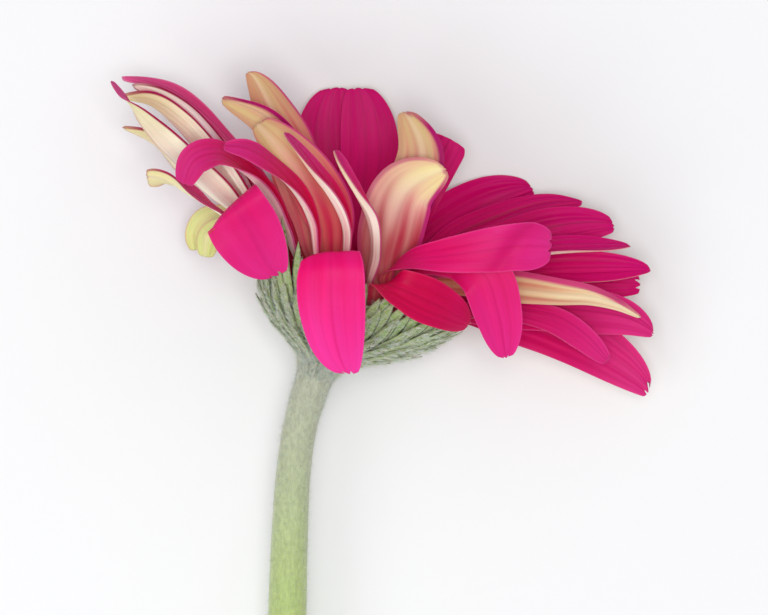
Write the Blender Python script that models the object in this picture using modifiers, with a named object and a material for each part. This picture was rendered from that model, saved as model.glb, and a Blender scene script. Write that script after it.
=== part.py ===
"""A cut gerbera lying on its side: stem, receptacle, three rows of bracts, disc florets and ray florets.

Units are metres, +Z is up, and Z = 0 is the surface that the flower lies on. +Y runs from the cut end of the
stem to the flower. The tables are in millimetres, in the head's own place: x and y are counted from the point
where the stem meets the head, and z from the surface.
"""

import math
from dataclasses import dataclass

import bmesh
import bpy
import numpy as np
from mathutils import Vector
from mathutils.bvhtree import BVHTree

MM = 0.001

# Driving dimensions, in millimetres.
HEAD_PLACE = (-12.2, 72.7, 0.0)  # the head's own zero, seen from the part's origin
HEAD_BASE = np.array([0.3, 0.0, 19.0])  # where the stem meets the head
HEAD_TURN_DEG = 70.0  # the head's axis in plan, from +X
HEAD_RISE_DEG = 4.0  # and above the surface
STEM_DROP = 200.0  # from the head down to the cut end, along -Y
STEM_CUT_RADIUS = 3.9
STEM_NECK_RADIUS = 3.2
PETAL_THICKNESS = 0.5
BRACT_THICKNESS = 0.5
SEAT_GAP = 0.35  # between a floret's foot and the receptacle
FOOT_OUT = 0.1  # how far outside its ring a foot stands
WAY_OUT = (5.2, 1.5)  # a floret leaves the cup this far up and out from its ring
WAY_OUT_LOOK = (0.9, 0.4)  # there its upper side looks inwards and up the axis, in these shares
LAYER_GAP = 1.15  # least height between the middles of two florets that lie on one another

# The three rings that the ray florets stand on: height up the axis, radius.
RINGS = {"outer": (8.9, 12.0), "middle": (9.7, 10.2), "inner": (10.3, 8.4)}

# Which way a floret's pink upper side looks.
UP = (0, 0, 1)
DOWN = (0, 0, -1)


@dataclass
class Floret:
    """One ray floret: its foot on a ring, and the points that it runs through, each (x, y, z, look).

    The look is the way that its pink upper side faces there.
    """

    name: str
    ring: str
    azimuth: float  # degrees round the head: 0 is the top, 90 the right, 180 the underside
    width: float
    run: list
    curl: tuple = (12, 12)  # how far its left and right margins bend to the upper side, degrees
    blunt: float = 0.0  # 0 is a round tip, 1 a wide cut one
    claw: float = 0.54  # the share of its length at which it is full width
    tip_curl: float = 1.0  # the share of its curl that is left at its tip


# In the order that they lie in, from the surface up.
FLORETS = [
    Floret("ray_under_a", "outer", 203, 9.0,
           [(-2.5, 26, 3, UP), (-4.5, 35, 0.8, UP), (-6.5, 42, 0.8, UP)]),
    Floret("ray_under_b", "outer", 219, 8.0,
           [(-8, 25, 6.5, UP), (-14, 32, 2, UP), (-19, 36, 0.8, UP)]),
    Floret("ray_top_a", "outer", 187, 10.0,
           [(2.6, 27, 4.5, UP), (1.6, 38, 1.8, UP), (0.9, 50.9, 2.2, UP)], (6, 6), 0.5),
    Floret("ray_top_b", "outer", 171, 10.6,
           [(8.0, 27, 5.0, UP), (9.6, 38, 3.0, UP), (9.1, 51.2, 3.4, UP)], (6, 6), 0.5),
    Floret("ray_right_a", "outer", 153, 11.5,
           [(20, 22.5, 5.5, UP), (30, 29, 1.6, UP), (38.9, 33, 0.8, UP)]),
    Floret("ray_right_b", "outer", 135, 9.0,
           [(23, 20.5, 9.5, (-.3, .5, .8)), (34, 26.6, 8.5, (-.3, .5, .8)), (42.5, 29.4, 8.5, (-.2, .6, .7)),
            (48.6, 29.9, 9, (0, .7, .7))]),
    Floret("ray_right_c", "middle", 131, 8.5,
           [(24, 18.5, 12, (-.1, .3, .9)), (36, 22.9, 11.5, (-.1, .3, .9)), (45.5, 25.0, 11.5, UP),
            (54.3, 25.5, 11.5, UP)]),
    Floret("ray_right_f", "outer", 117, 8.0,
           [(28, 12.6, 13, (0, .2, .95)), (40, 14.4, 11.5, (0, .2, .95)), (50, 15.2, 10.5, (0, .2, .95)),
            (59.4, 14.4, 10, UP)], (8, 8), 0.3),
    Floret("ray_right_h", "outer", 97, 10.5,
           [(27, 8.0, 17.5, UP), (38, 5.8, 13, UP), (48, 2.3, 11, UP), (55, -1.2, 10, UP), (60.7, -4.8, 10, UP)]),
    Floret("ray_right_e", "middle", 112, 8.0,
           [(27, 14.8, 16.5, (0, .3, .95)), (40, 17.4, 16, (0, .3, .95)), (50, 18.1, 15.5, (0, .3, .95)),
            (61, 17.8, 15, (0, .3, .95))], (12, 35)),
    Floret("ray_right_d", "inner", 112, 7.0,
           [(26, 17.4, 18.5, (-.2, .7, .6)), (38, 20.4, 18.5, (-.2, .75, .6)), (48, 21.8, 18, (-.2, .75, .6)),
            (57.4, 21.9, 17, (0, .7, .7))], (8, 55)),
    Floret("ray_right_g", "middle", 93, 8.6,
           [(27, 10.6, 20, UP), (40, 10.6, 19, UP), (50, 9.5, 17, UP), (58, 8.4, 15.5, UP), (61.9, 6.9, 15, UP)]),
    Floret("ray_top_c", "middle", 152, 9.5,
           [(15.5, 24, 12, (.1, 0, 1)), (20.5, 34, 14, (.2, .1, 1)), (24.8, 42, 15, (.2, .1, 1))], (10, 10), 1.0),
    Floret("ray_left_a", "outer", 252, 6.0,
           [(-12.5, 23, 13, (.5, .3, -.7)), (-18, 27.8, 12.5, DOWN), (-21.8, 27.4, 12, DOWN),
            (-23.6, 24.5, 11, DOWN), (-23.2, 21.4, 9.5, DOWN)]),
    Floret("ray_left_b", "outer", 269, 5.0,
           [(-12, 21, 17, (.5, .3, -.7)), (-17, 25.0, 16.5, DOWN), (-19.8, 24, 16, DOWN),
            (-20.8, 20.0, 14.5, DOWN)]),
    Floret("ray_left_c", "outer", 236, 7.0,
           [(-10.2, 24.5, 16.8, (.55, .6, .3)), (-16.8, 30.4, 17.2, (.5, .6, -.3)), (-24, 36.3, 17.5, (.5, .6, -.6)),
            (-30, 41.3, 17, (.5, .6, -.65)), (-36.2, 43.4, 16, (.3, .6, -.7))]),
    Floret("ray_left_i", "inner", 228, 6.5,
           [(-8.4, 31.8, 13, (.6, .6, .4)), (-15.6, 42.2, 14.5, (.6, .6, .5)), (-20.8, 47.2, 16, (.5, .7, .6)),
            (-27, 50.8, 17, (.4, .7, .6)), (-32, 52.4, 17.5, (.2, .7, .6)), (-36.3, 53.1, 17.5, (.1, .7, .6))]),
    Floret("ray_left_h", "inner", 251, 5.5,
           [(-11.5, 32.4, 19, (.7, .6, .1)), (-18.2, 41.4, 21, (.7, .6, 0)), (-24, 46.7, 22, (.6, .7, 0)),
            (-31, 50.3, 22, (.6, .7, 0)), (-37.7, 52.4, 21, (.6, .7, .2))]),
    Floret("ray_left_g", "middle", 247, 6.0,
           [(-12, 31.4, 19, (.6, .65, 0)), (-19.3, 40.3, 22, (.5, .65, -.4)), (-25, 46.0, 23.5, (.5, .65, -.5)),
            (-30, 49.6, 24, (.4, .7, -.5)), (-34.2, 51.2, 24, (.2, .8, -.5))]),
    Floret("ray_left_f", "middle", 267, 6.5,
           [(-11.5, 28.2, 22, (.6, .6, -.2)), (-20.3, 38.6, 25.5, (.5, .6, -.5)),
            (-26, 44.4, 27, (.5, .6, -.6)), (-31, 47.8, 27.5, (.2, .7, -.6)), (-36.2, 48.9, 27, (0, .8, -.6))]),
    Floret("ray_left_d", "middle", 286, 8.0,
           [(-11.5, 25, 24, (.6, .6, -.2)), (-17.8, 31.6, 25, (.5, .6, -.5)), (-24.0, 37.4, 26.5, (.5, .55, -.65)),
            (-30, 43.4, 26.5, (.5, .55, -.65)), (-35.4, 48.0, 25.5, (.5, .55, -.65))]),
    Floret("ray_left_e", "outer", 287, 6.0,
           [(-12.4, 23, 25.5, (.6, .7, 0)), (-18.5, 28.5, 28, (.55, .8, .2)), (-24.2, 32.4, 29.5, (.5, .8, .25)),
            (-28.5, 34.5, 30, (.3, .8, 0)), (-31.4, 34.9, 29.5, (.1, .8, -.3))]),
    Floret("ray_top_d", "inner", 72, 9.5,
           [(13.5, 21, 24, DOWN), (15.8, 31, 26, DOWN), (18.0, 39, 26.5, DOWN), (17.4, 46.6, 25, DOWN)], (-25, 12)),
    Floret("ray_right_j", "outer", 79, 6.6,
           [(22, 9.8, 23, (0, .3, .95)), (30, 10.3, 23, UP), (39.6, 10.2, 21.5, UP), (46, 7.7, 19.5, UP),
            (50.6, 4.4, 17.5, UP), (53.5, 0.9, 16.5, UP)]),
    Floret("ray_right_i", "middle", 75, 8.0,
           [(19, 14.8, 24.5, (-.3, .3, -.8)), (26, 15.4, 25.5, (.1, -.3, -.9)), (36, 14.5, 25, (.1, -.4, -.9)),
            (46, 13.2, 24, (0, -.4, -.9)), (53, 11.6, 22.5, (0, -.5, -.85)), (59.3, 8.4, 21, (0, -.6, -.8))],
           (10, -60)),
    Floret("ray_top_e", "inner", 51, 12.5,
           [(12.3, 18, 29, DOWN), (13.6, 25, 31, DOWN), (16.3, 31, 32, (.1, 0, -1)), (22.4, 35.9, 31, (.2, 0, -1))],
           (20, 14)),
    Floret("ray_mid_a", "inner", 318, 9.5,
           [(-2.5, 26, 27.5, DOWN), (-3.5, 34, 29, DOWN), (-5, 41, 29.5, DOWN), (-8, 48, 29, DOWN),
            (-12, 54, 27.5, DOWN)]),
    Floret("ray_mid_b", "inner", 342, 8.0,
           [(0, 20, 30, DOWN), (-1.8, 28, 32, DOWN), (-5.5, 36, 33.5, (0, .2, -1)), (-10.5, 43, 33, (.1, .3, -1)),
            (-17.6, 48, 30.5, (.1, .4, -1))], (-60, 8)),
    Floret("ray_near_a", "middle", 318, 9.0,
           [(-3.8, 19, 31.5, (.8, .45, .1)), (-6.5, 25, 34.5, (.8, .5, .2)), (-9.4, 30.5, 36.5, (.75, .6, .25)),
            (-13.4, 35.8, 38.5, (.5, .75, .3)), (-18, 38.8, 39, (.2, .8, .6)), (-22.5, 38.2, 38.5, (-.1, .4, .9)),
            (-25.1, 34.4, 36.5, UP)], (70, 60), tip_curl=0.15),
    Floret("ray_mid_c", "middle", 352, 10.5,
           [(2.8, 20, 32.5, DOWN), (2.3, 27, 34.5, DOWN), (-0.7, 34, 36, (.1, .1, -1)), (-5.2, 40.5, 36.5, (.1, .1, -1)),
            (-10.0, 45.4, 35.5, DOWN)], (20, 10)),
    Floret("ray_near_b", "middle", 335, 7.6,
           [(-0.5, 20, 36.3, (.85, .3, .2)), (-1.3, 26, 38.5, (.8, .5, .25)), (-4.2, 32, 40.5, (.7, .6, .3)),
            (-8.6, 36.8, 42, (.4, .7, .6)), (-13, 39.6, 42.5, (.2, .4, .9)), (-17.2, 40.2, 41.5, UP)],
           (65, 60), claw=0.66, tip_curl=0.2),
    Floret("ray_near_c", "middle", 8, 7.0,
           [(5.0, 20, 36, (.9, .2, .1)), (4.6, 26, 39, (.85, .4, .2)), (2.2, 31.6, 41.5, (.8, .55, .25)),
            (-0.7, 35.7, 42.5, (.7, .6, .3)), (-3.8, 39.8, 42.5, (.7, .6, .35)), (-6.0, 42.6, 41, (.6, .6, .5))],
           (50, 50)),
    Floret("ray_near_d", "inner", 27, 6.5,
           [(9.2, 15, 32, (.95, 0, -.2)), (9.9, 21, 36.5, (.95, .1, -.1)), (9.0, 27.4, 40, (.9, .4, 0)),
            (7.0, 31.8, 42.5, (.8, .5, .2)), (4.8, 36.0, 43, (.75, .6, .2)), (3.2, 39.4, 41.5, (.7, .5, .3))],
           (55, 55)),
    Floret("ray_front_d", "outer", 26, 8.8,
           [(10.8, 12.8, 35.2, (-.2, .4, -.8)), (11.7, 14.8, 37.5, (0, .9, .1)), (14.6, 14.2, 38.5, (0, .4, .9)),
            (19, 12.3, 37, (0, .1, 1)), (24, 10.0, 33.5, (0, .1, 1)), (28.3, 7.4, 29, (.1, .1, 1))], claw=0.7),
    Floret("ray_front_c", "middle", 60, 9.8,
           [(16.6, 15.7, 27.5, (-.5, .8, 0)), (20.7, 19.0, 30.5, (-.1, .5, .8)), (26, 19.6, 34, (0, -.1, 1)),
            (30.6, 16.6, 35.5, (0, -.1, 1)), (33.0, 10.0, 34, UP), (34.7, 1.6, 29.5, UP)], claw=0.7),
    Floret("ray_front_e", "middle", 46, 9.2,
           [(12.8, 14.0, 30.5, (-.4, .8, -.3)), (13.2, 17.4, 34, (-.2, .9, .3)), (17.2, 19.7, 37, (-.1, .6, .8)),
            (23, 20.4, 39, (0, .2, 1)), (30, 21.2, 40, (0, 0, 1)), (37, 21.8, 39.5, (0, -.1, 1)),
            (42.8, 21.6, 36, (.4, 0, 1))], blunt=0.2, claw=0.7),
    Floret("ray_front_a", "outer", 303, 13.0,
           [(-7.5, 17.5, 29.5, (.3, .1, -.9)), (-10.5, 22.3, 34, (.2, .2, -.9)), (-13.8, 26.9, 38.5, (-.2, .4, -.8)),
            (-15.6, 28.9, 41, (-.64, .77, 0)), (-14.9, 27.9, 42.8, (-.4, .4, .8)), (-12.8, 24.3, 42, UP),
            (-9.8, 15.9, 38, (.1, -.2, 1))], (8, 8), claw=0.75),
    Floret("ray_front_b", "outer", 2, 12.6,
           [(2.8, 16, 38, (0, .6, -.8)), (2.4, 19.4, 42, (0, .9, -.4)), (2.3, 20.7, 44.8, (0, 1, .1)),
            (2.4, 18.8, 46.8, (0, .6, .8)), (2.7, 12, 46.5, (0, .1, 1)), (3.4, 5, 44, UP), (4.3, -1.6, 40, UP)],
           (8, 8), claw=0.6),
]


def place(points):
    """Head millimetres to part metres."""
    return (np.asarray(points, float) + np.array(HEAD_PLACE)) * MM


def head_frame():
    """The head's axis, its right and its top, as unit vectors."""
    turn, rise = math.radians(HEAD_TURN_DEG), math.radians(HEAD_RISE_DEG)
    axis = np.array([math.cos(turn) * math.cos(rise), math.sin(turn) * math.cos(rise), math.sin(rise)])
    right = np.array([math.sin(turn), -math.cos(turn), 0.0])
    return axis, right, np.cross(right, axis)


AXIS, RIGHT, TOP = head_frame()


def on_head(height, radius, azimuth_deg):
    """A point at a height up the head's axis, a radius and an azimuth."""
    a = math.radians(azimuth_deg)
    return HEAD_BASE + height * AXIS + radius * (math.cos(a) * TOP + math.sin(a) * RIGHT)


def unit(vectors):
    """The vectors at length one."""
    return vectors / np.linalg.norm(vectors, axis=-1, keepdims=True)


def smooth(t):
    """A step from 0 to 1 that eases in and out."""
    t = np.clip(t, 0.0, 1.0)
    return t * t * (3 - 2 * t)


def spline(points, at):
    """A smooth curve through the points, read at shares of its chord length: a cubic between each two."""
    points = np.asarray(points, float)
    knots = np.concatenate([[0], np.cumsum(np.linalg.norm(np.diff(points[:, :3], axis=0), axis=1))])
    knots /= knots[-1]
    slopes = np.gradient(points, knots, axis=0)
    i = np.clip(np.searchsorted(knots, at, side="right") - 1, 0, len(knots) - 2)
    span = (knots[i + 1] - knots[i])[:, None]
    t = ((at - knots[i])[:, None]) / span
    return (
        (2 * t**3 - 3 * t**2 + 1) * points[i]
        + (t**3 - 2 * t**2 + t) * span * slopes[i]
        + (3 * t**2 - 2 * t**3) * points[i + 1]
        + (t**3 - t**2) * span * slopes[i + 1]
    )


def even_spline(points, count):
    """The same curve, read at even steps of its own length."""
    dense = np.linspace(0, 1, 400)
    path = spline(points, dense)
    length = np.concatenate([[0], np.cumsum(np.linalg.norm(np.diff(path[:, :3], axis=0), axis=1))])
    return np.stack(
        [np.interp(np.linspace(0, length[-1], count), length, path[:, k]) for k in range(path.shape[1])], axis=1
    )


def floret_route(floret):
    """The floret's stations: its foot, its way out of the cup, and its run, each with the way that it looks."""
    height, radius = RINGS[floret.ring]
    inward = -unit(on_head(0, 1, floret.azimuth) - HEAD_BASE)
    looks = unit(WAY_OUT_LOOK[0] * inward + WAY_OUT_LOOK[1] * AXIS)
    foot = on_head(height + SEAT_GAP, radius + FOOT_OUT, floret.azimuth)
    way_out = on_head(height + WAY_OUT[0], radius + WAY_OUT[1], floret.azimuth)
    stations = [(*foot, *looks), (*way_out, *looks)]
    for x, y, z, look in floret.run:
        stations.append((x, y, z, *unit(np.array(look, float))))
    return np.array(stations)


# Shares of a floret's length and width: where its claw ends and its tip begins, and how wide they are.
CLAW_START, CLAW_WIDTH = 0.02, 0.20
ROUND_TIP_START, BLUNT_TIP_START = 0.74, 0.88
ROUND_TIP_END, BLUNT_TIP_END = 0.30, 0.65
TIP_ROUNDNESS = 2.2
SECTION_POINTS, SECTION_BEND = 61, 0.8  # a margin's bend grows as this power of the way to it
CURL_START, CURL_SPREAD = 0.05, 0.3  # where a floret's curl opens, and over how much of its length
TIP_CURL_START, TIP_CURL_SPREAD = 0.45, 0.35  # and where it goes over to the tip's own curl


def breadth(floret, s):
    """Half the floret's width along its length: a narrow claw, an even blade and a rounded or blunt tip."""
    claw = CLAW_WIDTH + (1 - CLAW_WIDTH) * smooth((s - CLAW_START) / (floret.claw - CLAW_START))
    start = ROUND_TIP_START + (BLUNT_TIP_START - ROUND_TIP_START) * floret.blunt
    past = np.clip((s - start) / (1 - start), 0, 1)
    end = ROUND_TIP_END + (BLUNT_TIP_END - ROUND_TIP_END) * floret.blunt
    tip = end + (1 - end) * np.sqrt(np.clip(1 - past**TIP_ROUNDNESS, 0, 1))
    return floret.width / 2 * claw * tip


def section(angle_deg, t):
    """A half cross-section that bends more towards its margin: (across, towards the upper side) at shares t."""
    fine = np.linspace(0, 1, SECTION_POINTS)
    bend = math.radians(angle_deg) * fine**SECTION_BEND
    across = np.concatenate([[0], np.cumsum((np.cos(bend[1:]) + np.cos(bend[:-1])) / 2 * np.diff(fine))])
    rise = np.concatenate([[0], np.cumsum((np.sin(bend[1:]) + np.sin(bend[:-1])) / 2 * np.diff(fine))])
    return np.interp(t, fine, across), np.interp(t, fine, rise)


def floret_surface(floret, along, across, lift=None):
    """The floret's middle surface as an array (along, across, 3) in head millimetres."""
    path = even_spline(floret_route(floret), along)
    s = np.linspace(0, 1, along)
    centre = path[:, :3].copy()
    tangent = unit(np.gradient(centre, s, axis=0))
    look = path[:, 3:]
    normal = unit(look - (look * tangent).sum(1, keepdims=True) * tangent)
    side = np.cross(tangent, normal)
    if lift is not None:
        centre[:, 2] += np.interp(s, np.linspace(0, 1, len(lift)), lift)
    v = np.linspace(-1, 1, across)
    half = breadth(floret, s)[:, None, None]
    opened = smooth((s - CURL_START) / CURL_SPREAD)
    opened *= 1 - (1 - floret.tip_curl) * smooth((s - TIP_CURL_START) / TIP_CURL_SPREAD)
    out, rise = np.zeros((along, across)), np.zeros((along, across))
    for i, share in enumerate(opened):
        left = section(floret.curl[0] * share, -np.minimum(v, 0))
        right = section(floret.curl[1] * share, np.maximum(v, 0))
        out[i], rise[i] = right[0] - left[0], left[1] + right[1]
    return centre[:, None, :] + half * (out[:, :, None] * side[:, None, :] + rise[:, :, None] * normal[:, None, :])


def grid_faces(along, across):
    """The four-sided faces of a grid whose points run across first."""
    i, j = np.meshgrid(np.arange(along - 1), np.arange(across - 1), indexing="ij")
    a = (i * across + j).ravel()
    return np.stack([a, a + 1, a + across + 1, a + across], axis=1)


SETTLE_ALONG, SETTLE_ACROSS = 21, 7
SETTLE_FREE = (0.16, 0.34)  # a floret's foot can't lift: between these shares of its length it comes free
SETTLE_SPREAD = 0.16  # how far along the floret one lift is spread
PASS_UNDER = 3.0  # a floret this far below another runs under it and isn't lifted over it
FLOOR_Z = PETAL_THICKNESS / 2 + 0.05


def settled():
    """Lays the florets down in order, each lifted just clear of what is under it. Returns each one's lifts."""
    faces = grid_faces(SETTLE_ALONG, SETTLE_ACROSS).tolist()
    stations = np.linspace(0, 1, SETTLE_ALONG)
    free = smooth((stations - SETTLE_FREE[0]) / (SETTLE_FREE[1] - SETTLE_FREE[0]))
    near = np.abs(stations[:, None] - stations[None, :]) / SETTLE_SPREAD
    spread = smooth(1.35 - near)
    laid, lifts = [], {}
    for floret in FLORETS:
        lift = np.zeros(SETTLE_ALONG)
        for _ in range(3):
            surface = floret_surface(floret, SETTLE_ALONG, SETTLE_ACROSS, lift)
            need = np.clip(FLOOR_Z - surface[:, :, 2].min(1), 0, None)
            tree = BVHTree.FromPolygons(surface.reshape(-1, 3).tolist(), faces)
            low, high = surface.min((0, 1)), surface.max((0, 1))
            for other, other_tree in laid:
                spot = other.reshape(-1, 3)
                if (spot.max(0)[:2] < low[:2]).any() or (spot.min(0)[:2] > high[:2]).any():
                    continue
                for i in range(SETTLE_ALONG):
                    for point in surface[i]:
                        hit = other_tree.ray_cast(Vector((point[0], point[1], 200)), Vector((0, 0, -1)))[0]
                        if hit is not None and hit.z - point[2] < PASS_UNDER:
                            need[i] = max(need[i], hit.z + LAYER_GAP - point[2])
                inside = ((spot[:, :2] > low[:2]) & (spot[:, :2] < high[:2])).all(1)
                for point in spot[inside]:
                    hit, _, face, _ = tree.ray_cast(Vector((point[0], point[1], -50)), Vector((0, 0, 1)))
                    if hit is not None and point[2] - hit.z < PASS_UNDER:
                        row = face // (SETTLE_ACROSS - 1)
                        gap = point[2] + LAYER_GAP - hit.z
                        need[row] = max(need[row], gap)
                        need[row + 1] = max(need[row + 1], gap)
            need = np.clip(need, 0, None)
            if need.max() < 0.02:
                break
            lift = lift + (need[None, :] * spread).max(1) * free
        surface = floret_surface(floret, SETTLE_ALONG, SETTLE_ACROSS, lift)
        laid.append((surface, BVHTree.FromPolygons(surface.reshape(-1, 3).tolist(), faces)))
        lifts[floret.name] = lift
    return lifts


def material(name, colour, roughness):
    """A plain Principled material."""
    made = bpy.data.materials.new(name)
    made.use_nodes = True
    shader = made.node_tree.nodes["Principled BSDF"]
    shader.inputs["Base Color"].default_value = (*colour, 1)
    shader.inputs["Roughness"].default_value = roughness
    shader.inputs["Metallic"].default_value = 0.0
    return made


def add_object(name, mesh, finish, collection):
    """Names a mesh's object, gives it its material and puts it in the collection."""
    obj = bpy.data.objects.new(name, mesh)
    mesh.materials.append(finish)
    mesh.shade_smooth()
    collection.objects.link(obj)
    return obj


def add_floret(floret, lift, finish, collection, along=9, across=5):
    """A grid bent to the floret's surface, with its thickness from Solidify."""
    grid = bmesh.new()
    bmesh.ops.create_grid(grid, x_segments=across - 1, y_segments=along - 1, size=1)
    surface = place(floret_surface(floret, along, across, lift))
    for vert in grid.verts:
        i = round((vert.co.y + 1) / 2 * (along - 1))
        j = round((vert.co.x + 1) / 2 * (across - 1))
        vert.co = surface[i, j]
    mesh = bpy.data.meshes.new(floret.name)
    grid.to_mesh(mesh)
    grid.free()
    obj = add_object(floret.name, mesh, finish, collection)
    wall = obj.modifiers.new("thickness", "SOLIDIFY")
    wall.thickness = PETAL_THICKNESS * MM
    wall.offset = 0
    return obj


def turned(name, profile, steps, finish, collection):
    """A closed profile of (height, radius) turned round the head's axis."""
    mesh = bpy.data.meshes.new(name)
    points = [(radius * MM, 0.0, height * MM) for height, radius in profile]
    mesh.from_pydata(points, [(i, i + 1) for i in range(len(points) - 1)], [])
    obj = add_object(name, mesh, finish, collection)
    screw = obj.modifiers.new("turn", "SCREW")
    screw.steps = screw.render_steps = steps
    screw.use_merge_vertices = True
    screw.merge_threshold = 0.0001
    obj.location = Vector(place(HEAD_BASE))
    obj.rotation_mode = "QUATERNION"
    obj.rotation_quaternion = Vector(AXIS).to_track_quat("Z", "Y")
    return obj


# Height up the axis and radius of the cup that the outer bracts make on its left.
CUP = np.array([(0.6, 3.9), (1.5, 5.2), (2.7, 7.6), (5.7, 12.8), (9.0, 15.6), (12.5, 17.0), (16.0, 17.8)])
CUP_LEAN = 5.0  # how much further out its rim stands on its right
CUP_LEAN_START, CUP_LEAN_SPREAD = 2.0, 14.0  # the heights over which it leans out
SLOPE_STEP = 0.2


def cup_wall(height, inset):
    """(height, radius) of the cup's left side, moved inwards at right angles to its wall."""
    radius = np.interp(height, CUP[:, 0], CUP[:, 1])
    slope = (np.interp(height + SLOPE_STEP, CUP[:, 0], CUP[:, 1]) - radius) / SLOPE_STEP
    across = math.hypot(1, slope)
    return height + inset * slope / across, radius - inset / across


def cup_point(height, inset, azimuth_deg, flare=0.0):
    """A point of the cup, whose rim leans out on its right."""
    rightward = (1 + math.sin(math.radians(azimuth_deg))) / 2
    lean = CUP_LEAN * rightward * smooth((height - CUP_LEAN_START) / CUP_LEAN_SPREAD)
    up, radius = cup_wall(height, inset)
    return on_head(up, radius + lean + flare, azimuth_deg)


def add_bract_row(name, lobes, inset, foot, notch, tip, flare, finish, collection, levels=5):
    """One row of bracts, joined at the foot: a ring whose top edge runs from notch to tip and back."""
    segments = lobes * 2
    ring = bmesh.new()
    bmesh.ops.create_grid(ring, x_segments=segments, y_segments=levels - 1, size=1)
    for vert in ring.verts:
        step = round((vert.co.x + 1) / 2 * segments)
        level = round((vert.co.y + 1) / 2 * (levels - 1)) / (levels - 1)
        height = foot + ((tip if step % 2 else notch) - foot) * level
        out = flare * level**3 if step % 2 else 0
        vert.co = place(cup_point(height, inset, 360 * (step % segments) / segments, out))
    bmesh.ops.remove_doubles(ring, verts=ring.verts, dist=0.00001)
    bmesh.ops.recalc_face_normals(ring, faces=ring.faces)
    mesh = bpy.data.meshes.new(name)
    ring.to_mesh(mesh)
    ring.free()
    obj = add_object(name, mesh, finish, collection)
    wall = obj.modifiers.new("thickness", "SOLIDIFY")
    wall.thickness = BRACT_THICKNESS * MM
    wall.offset = 0
    return obj


STEM_TOP = on_head(-0.1, 0, 0)
# The stem's middle line from the head down to its cut end: x, y, radius. Its height falls evenly.
STEM_RUN = [(-1.5, -5, 3.3), (-3.2, -11, 3.15), (-4.4, -19, 3.2), (-5.2, -32, 3.4), (-5.7, -47, 3.6),
            (-6.4, -75, 3.7), (-6.6, -115, 3.8), (-5.6, -160, 3.85), (-3.8, -STEM_DROP, STEM_CUT_RADIUS)]


def stem_stations():
    """x, y, z and radius of the stem, from the head to the cut end."""
    rows = [(*STEM_TOP, 3.5)]
    for x, y, radius in STEM_RUN:
        share = -y / STEM_DROP
        z = STEM_TOP[2] + (STEM_CUT_RADIUS - STEM_TOP[2]) * share**0.85
        rows.append((x, y, z, radius))
    return np.array(rows)


def add_stem(finish, collection, points=26):
    """A bevelled curve, thicker towards its cut end."""
    run = even_spline(stem_stations(), points)
    curve = bpy.data.curves.new("stem", "CURVE")
    curve.dimensions = "3D"
    curve.bevel_depth = STEM_NECK_RADIUS * MM
    curve.bevel_resolution = 4
    curve.use_fill_caps = True
    line = curve.splines.new("POLY")
    line.points.add(points - 1)
    for point, (x, y, z, radius) in zip(line.points, run):
        point.co = (*place((x, y, z)), 1)
        point.radius = radius / STEM_NECK_RADIUS
    obj = bpy.data.objects.new("stem", curve)
    curve.materials.append(finish)
    collection.objects.link(obj)
    return obj


RECEPTACLE_INSET = 3.2  # inside the cup's outer face
# Closed profiles round the axis: height, radius.
RECEPTACLE = [(10.9, 0.0), (10.9, 3.6), (10.7, 7.0), (10.3, 8.4), (9.7, 10.2), (8.9, 11.9), (8.4, 11.5),
              *(cup_wall(height, RECEPTACLE_INSET) for height in (6.2, 4.7, 3.2, 1.7)), (0.3, 2.9), (0.3, 0.0)]
DISC = [(14.0, 0.0), (13.9, 2.0), (13.4, 4.0), (12.5, 5.6), (11.6, 6.4), (11.25, 6.5), (11.2, 0.0)]


# The rows of bracts: name, lobes, how far inside the cup's wall it stands, the heights of its foot, notches and
# tips, and the flare of the tips.
BRACT_ROWS = [
    ("bracts_inner", 19, 2.05, 6.4, 10.2, 13.6, 0.0),
    ("bracts_middle", 17, 1.03, 3.4, 7.6, 11.2, 0.0),
    ("bracts_outer", 15, 0.0, 1.6, 4.6, 8.2, 0.5),
]


def build():
    """Clears the scene and makes every piece."""
    for obj in list(bpy.data.objects):
        bpy.data.objects.remove(obj)
    collection = bpy.data.collections.new("cut_gerbera")
    bpy.context.scene.collection.children.link(collection)
    pink = material("petal_pink", (0.62, 0.02, 0.16), 0.5)
    green = material("bract_green", (0.30, 0.42, 0.18), 0.75)
    stem_green = material("stem_green", (0.42, 0.55, 0.20), 0.6)
    yellow = material("disc_yellow", (0.55, 0.50, 0.12), 0.7)

    add_stem(stem_green, collection)
    turned("receptacle", RECEPTACLE, 28, stem_green, collection)
    turned("disc_florets", DISC, 20, yellow, collection)
    for row in BRACT_ROWS:
        add_bract_row(*row, green, collection)
    lifts = settled()
    for floret in FLORETS:
        add_floret(floret, lifts[floret.name], pink, collection)


build()
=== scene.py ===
"""A cut gerbera that lies on its side: ray florets, woolly bracts, disc florets and a hairy stem.

Lengths are in millimetres in the head's own place, where x and y are counted from the point where the stem
meets the head and z from the surface that the flower lies on. They become metres when a mesh is written.
"""

import logging
import math
from dataclasses import dataclass, field
from enum import Enum

import bpy
import numpy as np
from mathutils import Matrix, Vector
from numpy.typing import NDArray


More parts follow.
